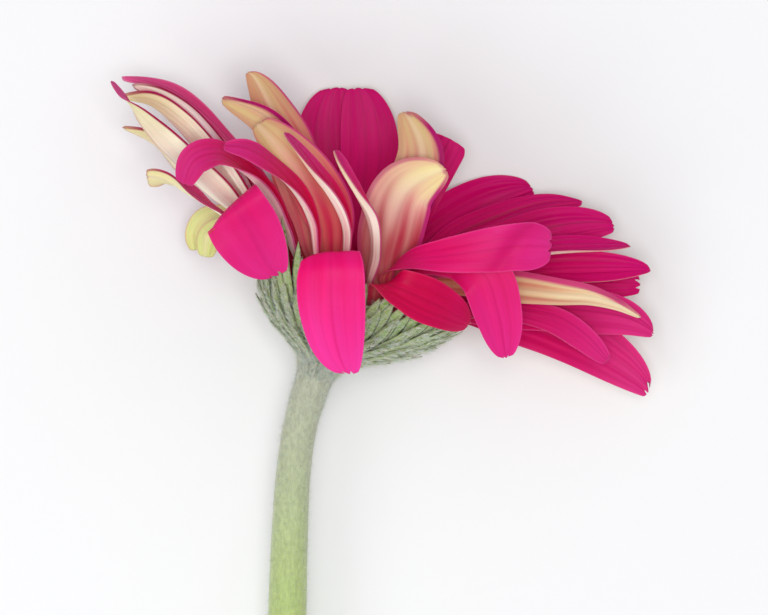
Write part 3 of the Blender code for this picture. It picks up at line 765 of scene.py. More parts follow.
# In the order that they lie in, from the surface up.
FLORETS = (
    Floret("under_a", Ring.OUTER, 203, 9.0,
           ((-2.5, 26, 3, UP), (-4.5, 35, 0.8, UP), (-6.5, 42, 0.8, UP))),
    Floret("under_b", Ring.OUTER, 219, 8.0, ((-8, 25, 6.5, UP), (-14, 32, 2, UP), (-19, 36, 0.8, UP))),
    Floret("top_a", Ring.OUTER, 187, 11.0,
           ((2.6, 27, 4.5, UP), (1.7, 38, 1.8, UP), (1.0, 51.4, 2.2, UP)),
           (6, 6), Tip(0.77, 0.3, 0.6), pleat=0.7, teeth=0.2),
    Floret("top_b", Ring.OUTER, 171, 10.8,
           ((8.0, 27, 5.0, UP), (9.4, 38, 3.0, UP), (9.0, 51.5, 3.4, UP)),
           (6, 6), Tip(0.75, 0.34, -0.45), pleat=0.7, teeth=0.2),
    Floret("right_a", Ring.OUTER, 153, 11.5,
           ((20, 22.6, 5.5, UP), (30.2, 29.5, 1.6, UP), (39.2, 34.0, 0.8, UP)),
           tip=Tip(0.62, 0.15, 0.3), pleat=2.3),
    Floret("right_b", Ring.OUTER, 135, 9.0,
           ((23, 20.5, 9.5, (-.3, .5, .8)), (34, 26.6, 8.5, (-.3, .5, .8)),
            (42.5, 29.4, 8.5, (-.2, .6, .7)), (49.0, 29.8, 9, (0, .7, .7))),
           tip=Tip(0.5, 0.06, -0.1, 0.8), pleat=2.2),
    Floret("right_c", Ring.MIDDLE, 131, 8.5,
           ((24, 18.5, 12, (-.1, .3, .9)), (36, 22.9, 11.5, (-.1, .3, .9)), (45.5, 25.8, 11.5, UP),
            (54.4, 27.7, 11.5, UP)), tip=Tip(0.68, 0.2, 0.6), pleat=2.0),
    Floret("right_f", Ring.OUTER, 117, 6.4,
           ((28, 12.6, 13, (0, .2, .95)), (40, 14.4, 11.5, (0, .2, .95)), (50, 15.2, 10.5, (0, .2, .95)),
            (59.7, 15.4, 10, UP)), (8, 8), Tip(0.8, 0.45, 0.3), teeth=1.2),
    Floret("right_h", Ring.OUTER, 97, 10.5,
           ((27, 10.6, 17.5, UP), (38, 8.6, 13, UP), (48, 4.9, 11, UP), (55.8, 1.3, 10, UP),
            (62.7, -2.0, 10, UP)), tip=Tip(0.68, 0.18, 0.8), upper=Upper.BRIGHT, teeth=1.1, pleat=1.6),
    Floret("right_e", Ring.MIDDLE, 112, 6.8,
           ((27, 14.8, 16.5, (0, .3, .95)), (40, 17.4, 16, (0, .3, .95)), (50, 18.1, 15.5, (0, .3, .95)),
            (61.4, 18.9, 15, (0, .3, .95))), (12, 35), Tip(0.66, 0.12, 0.5), under=Under.CREAM),
    Floret("right_d", Ring.INNER, 112, 7.0,
           ((26, 17.4, 18.5, (-.2, .7, .6)), (38, 20.4, 18.5, (-.2, .75, .6)),
            (48, 21.8, 18, (-.2, .75, .6)), (57.7, 22.4, 17, (0, .7, .7))),
           (8, 55), Tip(0.6, 0.12, 0.2), under=Under.CREAM),
    Floret("right_g", Ring.MIDDLE, 93, 8.6,
           ((27, 10.6, 20, UP), (40, 10.6, 19, UP), (50, 10.0, 17, UP), (58, 9.3, 15.5, UP),
            (62.6, 8.2, 15, UP)), tip=Tip(0.7, 0.15, 0.7), upper=Upper.BRIGHT),
    Floret("top_c", Ring.MIDDLE, 152, 7.8,
           ((15.2, 24, 12, (.1, 0, 1)), (20.2, 34, 14, (.2, .1, 1)), (24.4, 41.8, 15, (.2, .1, 1))),
           (10, 10), Tip(0.94, 0.7), teeth=0.1),
    Floret("left_a", Ring.OUTER, 252, 5.4,
           ((-12.5, 23, 13, (.5, .3, -.7)), (-17.5, 27.0, 12.5, DOWN), (-20.8, 26.6, 12, DOWN),
            (-22.4, 24.2, 11, DOWN), (-22.4, 21.3, 9.5, DOWN)), tip=Tip(0.72, 0.35), under=Under.LIME),
    Floret("left_b", Ring.OUTER, 269, 5.0,
           ((-12, 21, 17, (.5, .3, -.7)), (-17, 25.0, 16.5, DOWN), (-19.8, 24, 16, DOWN),
            (-20.8, 20.0, 14.5, DOWN)), tip=Tip(0.75, 0.4), under=Under.LIME),
    Floret("left_c", Ring.OUTER, 236, 7.0,
           ((-10.2, 24.5, 16.8, (.55, .6, .3)), (-16.8, 30.4, 17.2, (.5, .6, -.3)),
            (-24, 36.3, 17.5, (.5, .6, -.6)), (-30, 41.5, 17, (.5, .6, -.65)),
            (-36.2, 43.7, 16, (.3, .6, -.7))), tip=Tip(0.42, 0.08, -0.1, 0.8), under=Under.EDGED),
    Floret("left_i", Ring.INNER, 228, 4.8,
           ((-8.8, 31.8, 13, (.6, .6, .4)), (-16.5, 41.7, 14.5, (.6, .6, .5)),
            (-21.2, 46.6, 16, (.5, .7, .6)), (-27, 50.8, 17, (.4, .7, .6)),
            (-32, 52.4, 17.5, (.2, .7, .6)), (-36.3, 53.1, 17.5, (.1, .7, .6))),
           tip=Tip(0.45, 0.08), upper=Upper.LILAC),
    Floret("left_h", Ring.INNER, 251, 5.5,
           ((-11.5, 32.4, 19, (.7, .6, .1)), (-18.2, 41.4, 21, (.7, .6, 0)), (-24, 46.7, 22, (.6, .7, 0)),
            (-29.5, 49.6, 22, (.6, .7, 0)), (-34.3, 51.6, 21.5, (.6, .7, .2))),
           tip=Tip(0.55, 0.1), upper=Upper.VIOLET, under=Under.WHITE_PINK),
    Floret("left_g", Ring.MIDDLE, 247, 5.2,
           ((-12, 31.8, 19, (.6, .65, 0)), (-19.5, 41.1, 22, (.4, .5, -.8)),
            (-25.2, 47.0, 23.5, (.3, .5, -.9)), (-29.9, 50.1, 24, (.3, .5, -.8)),
            (-34.0, 51.7, 24, (.2, .7, -.6))), tip=Tip(0.5, 0.1), under=Under.WHITE_PINK),
    Floret("left_f", Ring.MIDDLE, 267, 6.5,
           ((-11.5, 28.2, 22, (.6, .6, -.2)), (-19.9, 39.2, 25.5, (.5, .6, -.5)),
            (-25.3, 45.2, 27, (.5, .6, -.6)), (-30.6, 48.8, 27.5, (.2, .7, -.6)),
            (-36.2, 49.4, 27, (0, .8, -.6))), tip=Tip(0.5, 0.12), under=Under.EDGED),
    Floret("left_d", Ring.MIDDLE, 286, 8.0,
           ((-11.5, 25, 24, (.6, .6, -.2)), (-17.8, 31.6, 25, (.5, .6, -.5)),
            (-24.0, 37.4, 26.5, (.5, .55, -.65)), (-29.5, 42.6, 26.2, (.5, .55, -.65)),
            (-33.2, 46.6, 24.5, (.6, .6, -.3)), (-35.6, 49.4, 23, (.6, .5, .4)),
            (-38.0, 52.4, 22, (.6, .4, .7))),
           tip=Tip(0.4, 0.08, 0, 0.8), upper=Upper.VIOLET, under=Under.EDGED),
    Floret("left_e", Ring.OUTER, 287, 6.0,
           ((-12.4, 23, 25.5, (.6, .7, 0)), (-18.5, 28.5, 28, (.55, .8, .2)),
            (-24.2, 32.4, 29.5, (.5, .8, .25)), (-28.2, 34.2, 30, (.2, .7, -.3)),
            (-31.4, 34.4, 29.5, (0, .5, -.8))),
           tip=Tip(0.86, 0.5), upper=Upper.VIOLET, under=Under.EDGED),
    Floret("top_d", Ring.INNER, 72, 9.8,
           ((13.5, 21, 24, DOWN), (16.8, 31, 26, DOWN), (19.4, 39.2, 26.5, DOWN), (18.1, 47.1, 25, DOWN)),
           (-25, 12), Tip(0.6, 0.16, 0.6), under=Under.BANDED),
    Floret("right_j", Ring.OUTER, 79, 5.4,
           ((22, 9.8, 23, (0, .3, .95)), (30, 10.3, 23, UP), (38.6, 9.6, 21.8, UP), (44.3, 8.0, 20, UP),
            (49.1, 4.9, 18, UP), (53.6, 0.6, 16.5, UP)),
           tip=Tip(0.72, 0.25), claw=0.85, upper=Upper.BRIGHT),
    Floret("right_i", Ring.MIDDLE, 75, 6.6,
           ((19, 14.8, 24.5, (-.3, .3, -.8)), (26, 15.2, 25.5, (.1, -.3, -.9)),
            (37.9, 14.2, 25, (.1, -.4, -.9)), (44.3, 13.4, 24.2, (0, -.4, -.9)),
            (50.7, 12.6, 23, (0, -.5, -.85)), (55.5, 10.9, 22, (0, -.6, -.8)),
            (59.4, 8.5, 21, (0, -.6, -.8))),
           (10, -60), Tip(0.42, 0.07, 0.1, 1.0), upper=Upper.VIOLET, under=Under.SANDY),
    Floret("top_e", Ring.INNER, 51, 12.5,
           ((12.3, 18, 29, DOWN), (13.6, 25, 31, DOWN), (15.8, 32, 32, (.1, 0, -1)),
            (22.6, 37.3, 31, (.2, 0, -1))), (20, 14), Tip(0.62, 0.12, -0.3), under=Under.FLUSHED),
    Floret("mid_a", Ring.INNER, 318, 9.5,
           ((-2.5, 26, 27.5, DOWN), (-3.5, 34, 29, DOWN), (-5, 41, 29.5, DOWN), (-7.4, 48.0, 29, DOWN),
            (-9.4, 55.0, 27.5, DOWN)), tip=Tip(0.52, 0.1, 0.85), under=Under.TAN),
    Floret("mid_b", Ring.INNER, 342, 8.6,
           ((0, 20, 30, DOWN), (-1.4, 28, 32, DOWN), (-4.7, 37.6, 33.5, (0, .2, -1)),
            (-9.5, 45.0, 33, (.1, .3, -1)), (-17.7, 48.9, 30.5, (.1, .4, -1))),
           (-60, 8), Tip(0.5, 0.1), under=Under.BANDED),
    Floret("near_a", Ring.MIDDLE, 318, 8.0,
           ((-3.8, 19, 31.5, (.8, .45, .1)), (-6.5, 25, 34.5, (.8, .5, .2)),
            (-9.4, 30.5, 36.5, (.75, .6, .25)), (-13.4, 35.8, 38.5, (.5, .75, .3)),
            (-18, 38.8, 39, (.2, .8, .6)), (-22.2, 37.8, 38.5, (-.1, .4, .9)), (-24.6, 33.3, 36.5, UP)),
           (70, 60), Tip(0.6, 0.3), tip_curl=0.15, upper=Upper.RED, under=Under.GREY_PINK, pleat=0.5),
    Floret("mid_c", Ring.MIDDLE, 352, 9.8,
           ((2.8, 20, 32.5, DOWN), (2.3, 27, 34.5, DOWN), (-1.1, 34, 36, (.1, .1, -1)),
            (-5.4, 39.8, 36.5, (.1, .1, -1)), (-9.8, 45.3, 35.5, DOWN)), (20, 10), Tip(0.58, 0.25, 0.4)),
    Floret("near_b", Ring.MIDDLE, 335, 6.8,
           ((-0.5, 20, 36.3, (.85, .3, .2)), (-1.3, 26, 38.5, (.8, .5, .25)),
            (-4.2, 32, 40.5, (.7, .6, .3)), (-8.6, 36.8, 42, (.4, .7, .6)),
            (-13, 39.6, 42.5, (.2, .4, .9)), (-17.2, 40.2, 41.5, UP)),
           (65, 60), Tip(0.5, 0.1), claw=0.66, tip_curl=0.2, upper=Upper.RED, under=Under.CREAM,
           pleat=0.5),
    Floret("near_c", Ring.MIDDLE, 8, 7.0,
           ((5.0, 20, 36, (.9, .2, .1)), (4.6, 26, 39, (.85, .4, .2)), (2.2, 31.6, 41.5, (.8, .55, .25)),
            (-0.7, 35.7, 42.5, (.7, .6, .3)), (-3.8, 39.8, 42.5, (.7, .6, .35)),
            (-6.0, 42.6, 41, (.6, .6, .5))), (50, 50), Tip(0.5, 0.1), upper=Upper.RED, under=Under.CREAM),
    Floret("near_d", Ring.INNER, 27, 6.5,
           ((9.2, 15, 32, (.95, 0, -.2)), (9.9, 21, 36.5, (.95, .1, -.1)), (9.0, 27.4, 40, (.9, .4, 0)),
            (7.0, 31.8, 42.5, (.8, .5, .2)), (4.8, 36.0, 43, (.75, .6, .2)),
            (3.2, 39.4, 41.5, (.7, .5, .3))),
           (55, 55), Tip(0.5, 0.1), upper=Upper.RED, under=Under.CREAM),
    Floret("front_d", Ring.OUTER, 26, 8.8,
           ((10.8, 12.8, 36.0, (-.2, .4, -.8)), (11.7, 14.8, 39.2, (0, .9, .1)),
            (14.6, 14.2, 41.0, (0, .4, .9)), (19, 12.3, 39.8, (0, .1, 1)), (24, 10.0, 36, (0, .1, 1)),
            (28.0, 7.8, 31.5, (.1, .1, 1))),
           tip=Tip(0.6, 0.14, 0.1), claw=0.7, upper=Upper.CRIMSON, pleat=0.8),
    Floret("front_c", Ring.MIDDLE, 60, 9.8,
           ((16.6, 15.7, 27.5, (-.5, .8, 0)), (20.7, 19.0, 30.5, (-.1, .5, .8)),
            (26, 19.6, 34, (0, -.1, 1)), (30.6, 16.6, 35.5, (0, -.1, 1)), (33.0, 10.0, 34, UP),
            (34.3, 1.3, 29.5, UP)), tip=Tip(0.66, 0.14, -0.1), claw=0.7, upper=Upper.ROSE, pleat=0.6),
    Floret("front_e", Ring.MIDDLE, 46, 9.2,
           ((12.8, 14.0, 30.5, (-.4, .8, -.3)), (13.2, 17.4, 34, (-.2, .9, .3)),
            (17.2, 19.3, 37, (-.1, .6, .8)), (23, 20.0, 39, (0, .2, 1)), (30, 20.9, 40, (0, 0, 1)),
            (37, 21.8, 39.5, (0, -.1, 1)), (43.0, 21.8, 36, (.4, 0, 1))),
           tip=Tip(0.86, 0.4), claw=0.95, upper=Upper.ROSE, teeth=0.7, pleat=0.3, crease=(0.83, 0.55)),
    Floret("front_a", Ring.OUTER, 303, 13.0,
           ((-7.5, 17.5, 29.5, (.3, .1, -.9)), (-10.5, 22.3, 34, (.2, .2, -.9)),
            (-13.6, 26.8, 38.0, (-.2, .4, -.8)), (-15.7, 29.1, 40.6, (-.64, .77, 0)),
            (-15.4, 28.5, 42.8, (-.4, .4, .8)), (-13.2, 24.7, 42.6, UP), (-9.6, 15.5, 38, (.1, -.2, 1))),
           (4, -12), Tip(0.72, 0.2, -0.5), claw=0.75, upper=Upper.ROSE, pleat=0.25, teeth=0.9),
    Floret("front_b", Ring.OUTER, 2, 12.6,
           ((2.8, 16, 38, (0, .6, -.8)), (2.4, 19.4, 42, (0, .9, -.4)), (2.3, 20.7, 44.8, (0, 1, .1)),
            (2.4, 18.8, 46.8, (0, .6, .8)), (2.5, 12, 46.5, (0, .1, 1)), (2.8, 5, 44, UP),
            (3.4, -1.7, 40, UP)),
           (4, -28), Tip(0.64, 0.2, -0.5), claw=0.6, upper=Upper.HOT, teeth=0.6, pleat=0.35),
)


@dataclass
class Blade:
    """Works out one ray floret's surface: a route, a breadth along it and a bent section across it."""

    floret: Floret
    seat_gap: float = 0.35
    way_out: tuple[float, float] = (5.2, 1.5)
    way_out_look: tuple[float, float] = (0.9, 0.4)
    claw_start: float = 0.02
    claw_width: float = 0.20
    bend_power: float = 0.8
    bend_steps: int = 24

    def route(self) -> Array:
        """Its stations: the foot on its ring, the way out of the cup, and the run.

        Returns:
            (stations, 6), each a place and a unit look.
        """
        height, radius = self.floret.ring.value
        azimuth = self.floret.azimuth
        inward = HEAD.at(0, 0, azimuth) - HEAD.at(0, 1, azimuth)
        look = unit(self.way_out_look[0] * inward + self.way_out_look[1] * HEAD.axis)
        foot = HEAD.at(height + self.seat_gap, radius + 0.1, azimuth)
        out = HEAD.at(height + self.way_out[0], radius + self.way_out[1], azimuth)
        run = [(x, y, z, *unit(np.array(towards, float))) for x, y, z, towards in self.floret.run]
        return np.array([(*foot, *look), (*out, *look), *run], float)

    def breadth(self, s: Array) -> Array:
        """Returns half its width before its tip, at shares of its length: a claw that eases to a blade."""
        eased = ease(s, self.claw_start, self.floret.claw)
        return self.floret.width / 2 * (self.claw_width + (1 - self.claw_width) * eased)

    def taper(self, s: Array) -> Array:
        """The share of the width left towards the tip, which rounds off as a power of the way to it.

        Args:
            s: Shares of its length.

        Returns:
            Shares of the width.
        """
        tip = self.floret.tip
        past = np.clip((s - tip.start) / (1 - tip.start), 0, 1)
        return tip.end + (1 - tip.end) * np.clip(1 - past**2, 0, 1) ** tip.roundness

    def half_section(self, angle_deg: Array, share: Array) -> tuple[Array, Array]:
        """Half a cross-section, whose bend grows as a power of the way to its margin.

        Args:
            angle_deg: (along,), the bend at the margin.
            share: (along, across), the way to the margin.

        Returns:
            How far out and how far up each point is, as shares of the half width.
        """
        at = share[..., None] * (np.arange(self.bend_steps) + 0.5) / self.bend_steps
        bend = np.radians(angle_deg)[:, None, None] * at**self.bend_power
        return share * np.cos(bend).mean(-1), share * np.sin(bend).mean(-1)

    def middle(self, s: Array, v: Array, lift: Array) -> Array:
        """Its middle surface: the route's point, plus the section laid along its side and its look.

        Args:
            s: (along,) shares of its length, evenly spread.
            v: (across,), -1 at its left margin and 1 at its right one.
            lift: How far it is raised, at even shares of its length.

        Returns:
            (along, across, 3).
        """
        path = even_spline(self.route(), s)
        centre, look = path[:, :3].copy(), path[:, 3:]
        tangent = unit(np.gradient(centre, s, axis=0))
        normal = unit(look - (look * tangent).sum(1, keepdims=True) * tangent)
        side = np.cross(tangent, normal)
        centre[:, 2] += np.interp(s, np.linspace(0, 1, len(lift)), lift)
        kept = self.taper(s)[:, None]
        cut = v[None, :] * kept + self.floret.tip.skew * (1 - kept)
        opened = ease(s, 0.05, 0.35) * (1 - (1 - self.floret.tip_curl) * ease(s, 0.45, 0.8))
        left_out, left_up = self.half_section(self.floret.curl[0] * opened, -np.minimum(cut, 0))
        right_out, right_up = self.half_section(self.floret.curl[1] * opened, np.maximum(cut, 0))
        half = self.breadth(s)[:, None, None]
        out, up = (right_out - left_out)[..., None], (left_up + right_up)[..., None]
        return centre[:, None, :] + half * (out * side[:, None, :] + up * normal[:, None, :])


@dataclass
class Bed:
    """Lays the ray florets down in order, each lifted just clear of what is under it.

    Each laid floret is kept as a map of its greatest height over the surface. A point of the next floret
    that is under a map, or less than the layer gap above it, raises its station, unless it is so far below
    that it passes under. A raise is spread along the floret, and its foot can't rise.
    """

    along: int = 21
    finer: int = 8
    columns: int = 43
    rounds: int = 3
    settled: float = 0.02
    layer_gap: float = 1.15
    pass_under: float = 3.0
    floor: float = 0.3
    unlaid: float = -100.0
    free: tuple[float, float] = (0.16, 0.34)
    level: float = 1.35
    spread: float = 0.16
    cell: float = 0.5
    corner: tuple[float, float] = (-60.0, -25.0)
    size: tuple[int, int] = (280, 200)
    maps: list[Array] = field(default_factory=list)

    def cells(self, points: Array) -> tuple[Indices, Indices]:
        """Returns the map cell of each point, as two arrays of indices."""
        index = ((points[..., :2] - np.array(self.corner)) / self.cell).astype(np.int64)
        return np.clip(index[..., 0], 0, self.size[0] - 1), np.clip(index[..., 1], 0, self.size[1] - 1)

    def settle(self, floret: Floret) -> Array:
        """Lifts one floret clear of those laid before it, and maps it.

        Args:
            floret: The floret.

        Returns:
            The lift of each of its stations.
        """
        stations = np.linspace(0, 1, self.along)
        free = ease(stations, *self.free)
        reach = smooth(self.level - np.abs(stations[:, None] - stations) / self.spread)
        fine = np.linspace(0, 1, (self.along - 1) * self.finer + 1), np.linspace(-1, 1, self.columns)
        row = np.rint(fine[0] * (self.along - 1)).astype(np.int64)
        blade, lift = Blade(floret), np.zeros(self.along)
        for _ in range(self.rounds):
            surface = blade.middle(*fine, lift)
            need = self.floor - surface[..., 2]
            cells = self.cells(surface)
            for laid in self.maps:
                above = laid[cells] - surface[..., 2]
                need = np.maximum(need, np.where(above < self.pass_under, above + self.layer_gap, 0))
            station_need = np.zeros(self.along)
            np.maximum.at(station_need, row, need.max(axis=1))
            if station_need.max() < self.settled:
                break
            lift = lift + (station_need * reach).max(axis=1) * free
        surface = blade.middle(*fine, lift)
        laid = np.full(self.size, self.unlaid)
        np.maximum.at(laid, self.cells(surface), surface[..., 2])
        self.maps.append(laid)
        return lift


@dataclass
class RayFlorets:
    """Every ray floret as a thin closed shell with folds, a toothed tip and its two coloured sides.

    A furrow is its place across, its strength and its width, and a vein its place and strength. A pair
    that says range is the least and the most that a random number may be.
    """

    along: int = 90
    across: int = 31
    crowding: float = 1.4
    thickness: float = 0.42
    margin_thickness: float = 0.14
    thinning: float = 1.6
    furrows: tuple[tuple[float, float, float], ...] = (
        (-0.36, 1.0, 0.13), (0.34, 1.0, 0.13), (0.0, 0.35, 0.07), (-0.68, 0.4, 0.1), (0.69, 0.4, 0.1),
    )
    furrow_depth: float = 0.22
    furrow_range: tuple[float, float] = (0.6, 1.3)
    furrow_shift: float = 0.06
    furrow_sway: float = 0.04
    roll_depth: float = 0.22
    roll_range: tuple[float, float] = (1.2, 1.8)
    ripple_depth: float = 0.25
    ripple_range: tuple[float, float] = (1.8, 2.8)
    crease_slant: float = 0.08
    crease_width: float = 0.04
    veins: Profile = ((-0.66, 0.2), (-0.36, 0.35), (0.0, 0.5), (0.34, 0.35), (0.68, 0.2))
    vein_width: float = 0.035
    middle_vein: float = 0.8
    upper_highlight_width: float = 0.3
    streaks: int = 9
    highlight_white: Rgb = (255, 240, 214)
    length: float = 48.0
    tip_zone: float = 0.82
    corner: float = 0.5
    notch_width: float = 0.12
    notch_range: tuple[float, float] = (0.28, 0.40)
    tooth_range: tuple[float, float] = (0.6, 1.4)
    clearance: float = 0.05
    seed: int = 11

    def tip_line(self, floret: Floret, v: Array, rng: Rng) -> Array:
        """Where the tip ends: rounded corners, less two notches.

        Args:
            floret: The floret.
            v: Places across.
            rng: Its own random numbers.

        Returns:
            The share of the length at which each place across ends.
        """
        notch = rng.uniform(*self.notch_range, 2)
        depth = floret.teeth / self.length * rng.uniform(*self.tooth_range, 2)
        corner = self.corner / self.length * (1 - np.sqrt(np.clip(1 - v**2, 0, 1)))
        left, right = (bump(v, place, self.notch_width) for place in (-notch[0], notch[1]))
        return 1 - corner - depth[0] * left - depth[1] * right

    def folds(self, floret: Floret, s: Array, v: Array, rng: Rng) -> Array:
        """How far the surface moves to its pink side: furrows, a slow roll, waving margins and a crease.

        Args:
            floret: The floret.
            s: (along, across).
            v: (along, across).
            rng: Its own random numbers.

        Returns:
            (along, across), in millimetres.
        """
        furrowed = np.zeros_like(s)
        for middle, strength, width in self.furrows:
            straight = middle + self.furrow_shift * rng.standard_normal()
            bent = straight + self.furrow_sway * wave(s * 0.8 + rng.random())
            furrowed -= strength * rng.uniform(*self.furrow_range) * bump(v, bent, width)
        furrowed *= self.furrow_depth * floret.pleat * smooth(s / 0.25) * (1 - 0.5 * ease(s, 0.85, 1.0))
        roll = self.roll_depth * wave(s * rng.uniform(*self.roll_range) + rng.random() + 0.25 * v)
        waves = wave(s * rng.uniform(*self.ripple_range) + rng.random() + 0.1 * v)
        ripple = self.ripple_depth * np.abs(v) ** 3 * waves
        place, depth = floret.crease
        dent = depth * bump(s + self.crease_slant * v, place, self.crease_width)
        return furrowed + (roll + ripple) * ease(s, 0.3, 0.6) - dent

    def upper_tint(self, floret: Floret, s: Array, v: Array, edge: Array, rng: Rng) -> Array:
        """The pink side's colours: deep at the foot, a painted sheen towards the tip in slow bands, faint
        veins, painted shade in the crease and a thin paler rim of painted highlight.

        Args:
            floret: The floret.
            s: (along, across).
            v: (along, across).
            edge: (along, across), the way to the margin in millimetres.
            rng: Its own random numbers.

        Returns:
            (along, across, 3), linear.
        """
        tone = floret.upper.value
        colour = lay(linear(tone.foot), tone.blade, smooth(s / 0.5))
        # Painted sheen: the tip colour comes in along the length and in slow lighter and darker bands
        # across it.
        painted_sheen_bands = wave(s * 1.3 + 0.6 * v + rng.random()) * np.cos(TURN * (0.9 * v - 0.5 * s + rng.random()))
        colour = lay(colour, tone.tip, np.clip(0.75 * ease(s, 0.5, 1.0) + 0.11 * painted_sheen_bands + 0.044, 0, 1))
        for middle, strength in self.veins:
            wander = middle + 0.04 * rng.standard_normal()
            strength *= min(1.0, max(floret.pleat, self.middle_vein * (middle == 0)))
            colour = lay(colour, tone.vein, strength * bump(v, wander, self.vein_width) * smooth(s / 0.3))
        place, depth = floret.crease
        # Painted shade in the crease, in the veins' colour.
        shadow = min(0.45, depth) * bump(s + self.crease_slant * v, place - 0.02, 0.07)
        colour = lay(colour, tone.vein, shadow)
        # Painted highlight: a thin paler line along the margin.
        return lay(colour, tone.rim, 0.5 * smooth(1 - edge / self.upper_highlight_width))

    def under_tint(self, floret: Floret, s: Array, v: Array, edge: Array, rng: Rng) -> Array:
        """The pale side's colours: pink that comes up from the foot and in from the margins, in streaks,
        and a soft band of painted highlight.

        Args:
            floret: The floret.
            s: (along, across).
            v: (along, across).
            edge: (along, across), the way to the margin in millimetres.
            rng: Its own random numbers.

        Returns:
            (along, across, 3), linear.
        """
        tone = floret.under.value
        outer_part = ease(s, 0.6, 0.95)
        streak = np.zeros_like(v)
        for _ in range(self.streaks):
            middle, width = rng.uniform(-0.95, 0.95), rng.uniform(0.03, 0.14)
            bent = middle + 0.12 * wave(0.5 * s + rng.random())
            streak += rng.uniform(0.2, 1.0) * bump(v, bent, width) * (1 - 0.6 * outer_part)
        streak = np.clip(streak, 0, 1)
        colour = lay(linear(tone.blade), tone.tip, outer_part)
        colour = lay(colour, tone.streak, tone.streaks * streak)
        margin = tone.flush[0] * ease(-v, 0.35, 1.0) + tone.flush[1] * ease(v, 0.35, 1.0)
        colour = lay(colour, tone.streak, np.clip(margin * (0.7 + 0.6 * streak), 0, 0.9))
        foot = 1 - smooth((s - tone.reach + 0.35 - 0.12 * streak) / 0.45)
        colour = lay(colour, tone.foot, 0.92 * foot * (0.75 + 0.25 * streak))
        # Painted highlight: a soft warm white band across the outer part.
        pale = bump(v, rng.uniform(-0.3, 0.3), 0.18) * ease(s, 0.45, 0.75)
        colour = lay(colour, self.highlight_white, 0.25 * pale)
        rim = np.where(v < 0, *tone.rims) * (1 - 0.4 * ease(s, 0.9, 1.0))
        return lay(colour, tone.rim, rim * smooth(2.2 * (1 - edge / tone.rim_width)))

    @staticmethod
    def evened(lift: Array, steps: int = 201, window: int = 23) -> Array:
        """Evens out a floret's lifts with a bell-shaped window.

        Args:
            lift: One lift per station.
            steps: How many are wanted.
            window: How many of those the bell covers.

        Returns:
            The lifts at even shares of the length.
        """
        fine = np.interp(np.linspace(0, 1, steps), np.linspace(0, 1, len(lift)), lift)
        bell = np.hanning(window)
        return np.convolve(np.pad(fine, window // 2, mode="edge"), bell / bell.sum(), mode="valid")

    def shape(self, floret: Floret, lift: Array, number: int) -> Shape:
        """One floret's shell: its middle surface, moved along its normals by folds and half its thickness.

        Args:
            floret: The floret.
            lift: Its lifts.
            number: Its place in the order, which seeds its random numbers.

        Returns:
            The closed shape.
        """
        rng = np.random.default_rng(self.seed + number)
        t = np.linspace(-1, 1, self.across)
        v = np.sign(t) * (1 - (1 - np.abs(t)) ** self.crowding)
        s = np.linspace(0, 1, self.along)
        blade, start = Blade(floret), self.tip_zone
        line = self.tip_line(floret, v, rng)[None, :]
        past = (s[:, None] - start) / (1 - start)
        at = np.where(past > 0, start + past * (line - start), s[:, None])
        middle = self.slid(blade.middle(s, v, self.evened(lift)), at)
        normals = grid_normals(middle)
        across = np.broadcast_to(v, at.shape)
        fold = self.folds(floret, at, across, rng)[..., None]
        edge = (1 - np.abs(across)) * blade.breadth(at) * blade.taper(at)
        edge = np.minimum(edge, (line - at) * self.length)
        full = smooth(edge / self.thinning)[..., None]
        half = (self.margin_thickness + (self.thickness - self.margin_thickness) * full) / 2
        upper, under = middle + normals * (fold + half), middle + normals * (fold - half)
        sunk = np.maximum(self.clearance - np.minimum(upper[..., 2], under[..., 2]), 0)
        upper[..., 2] += sunk
        under[..., 2] += sunk
        uv = uv_grid((across + 1) / 2 + number * 1.7, at + number * 0.9)
        tints = [side(floret, at, across, edge, rng) for side in (self.upper_tint, self.under_tint)]
        return shell(upper, under, uv, *tints)

    def slid(self, surface: Array, at: Array) -> Array:
        """Reads a surface at other shares of its length, column by column, in between its rows.

        Args:
            surface: (along, across, 3), on even shares.
            at: (along, across), the shares to read.

        Returns:
            The surface at those shares.
        """
        place = at * (self.along - 1)
        row = np.clip(place.astype(np.int64), 0, self.along - 2)
        part = (place - row)[..., None]
        column = np.broadcast_to(np.arange(self.across), row.shape)
        return surface[row, column] * (1 - part) + surface[row + 1, column] * part

    def build(self, finish: bpy.types.Material) -> None:
        """Settles the florets and writes each one.

        Args:
            finish: Their material.
        """
        bed = Bed()
        for number, floret in enumerate(FLORETS):
            shape = self.shape(floret, bed.settle(floret), number)
            write_piece(f"petal_{floret.name}", shape, finish, "petal_pink", f"ray_{floret.name}")


# --- Hairs -----------------------------------------------------------------------------------------------


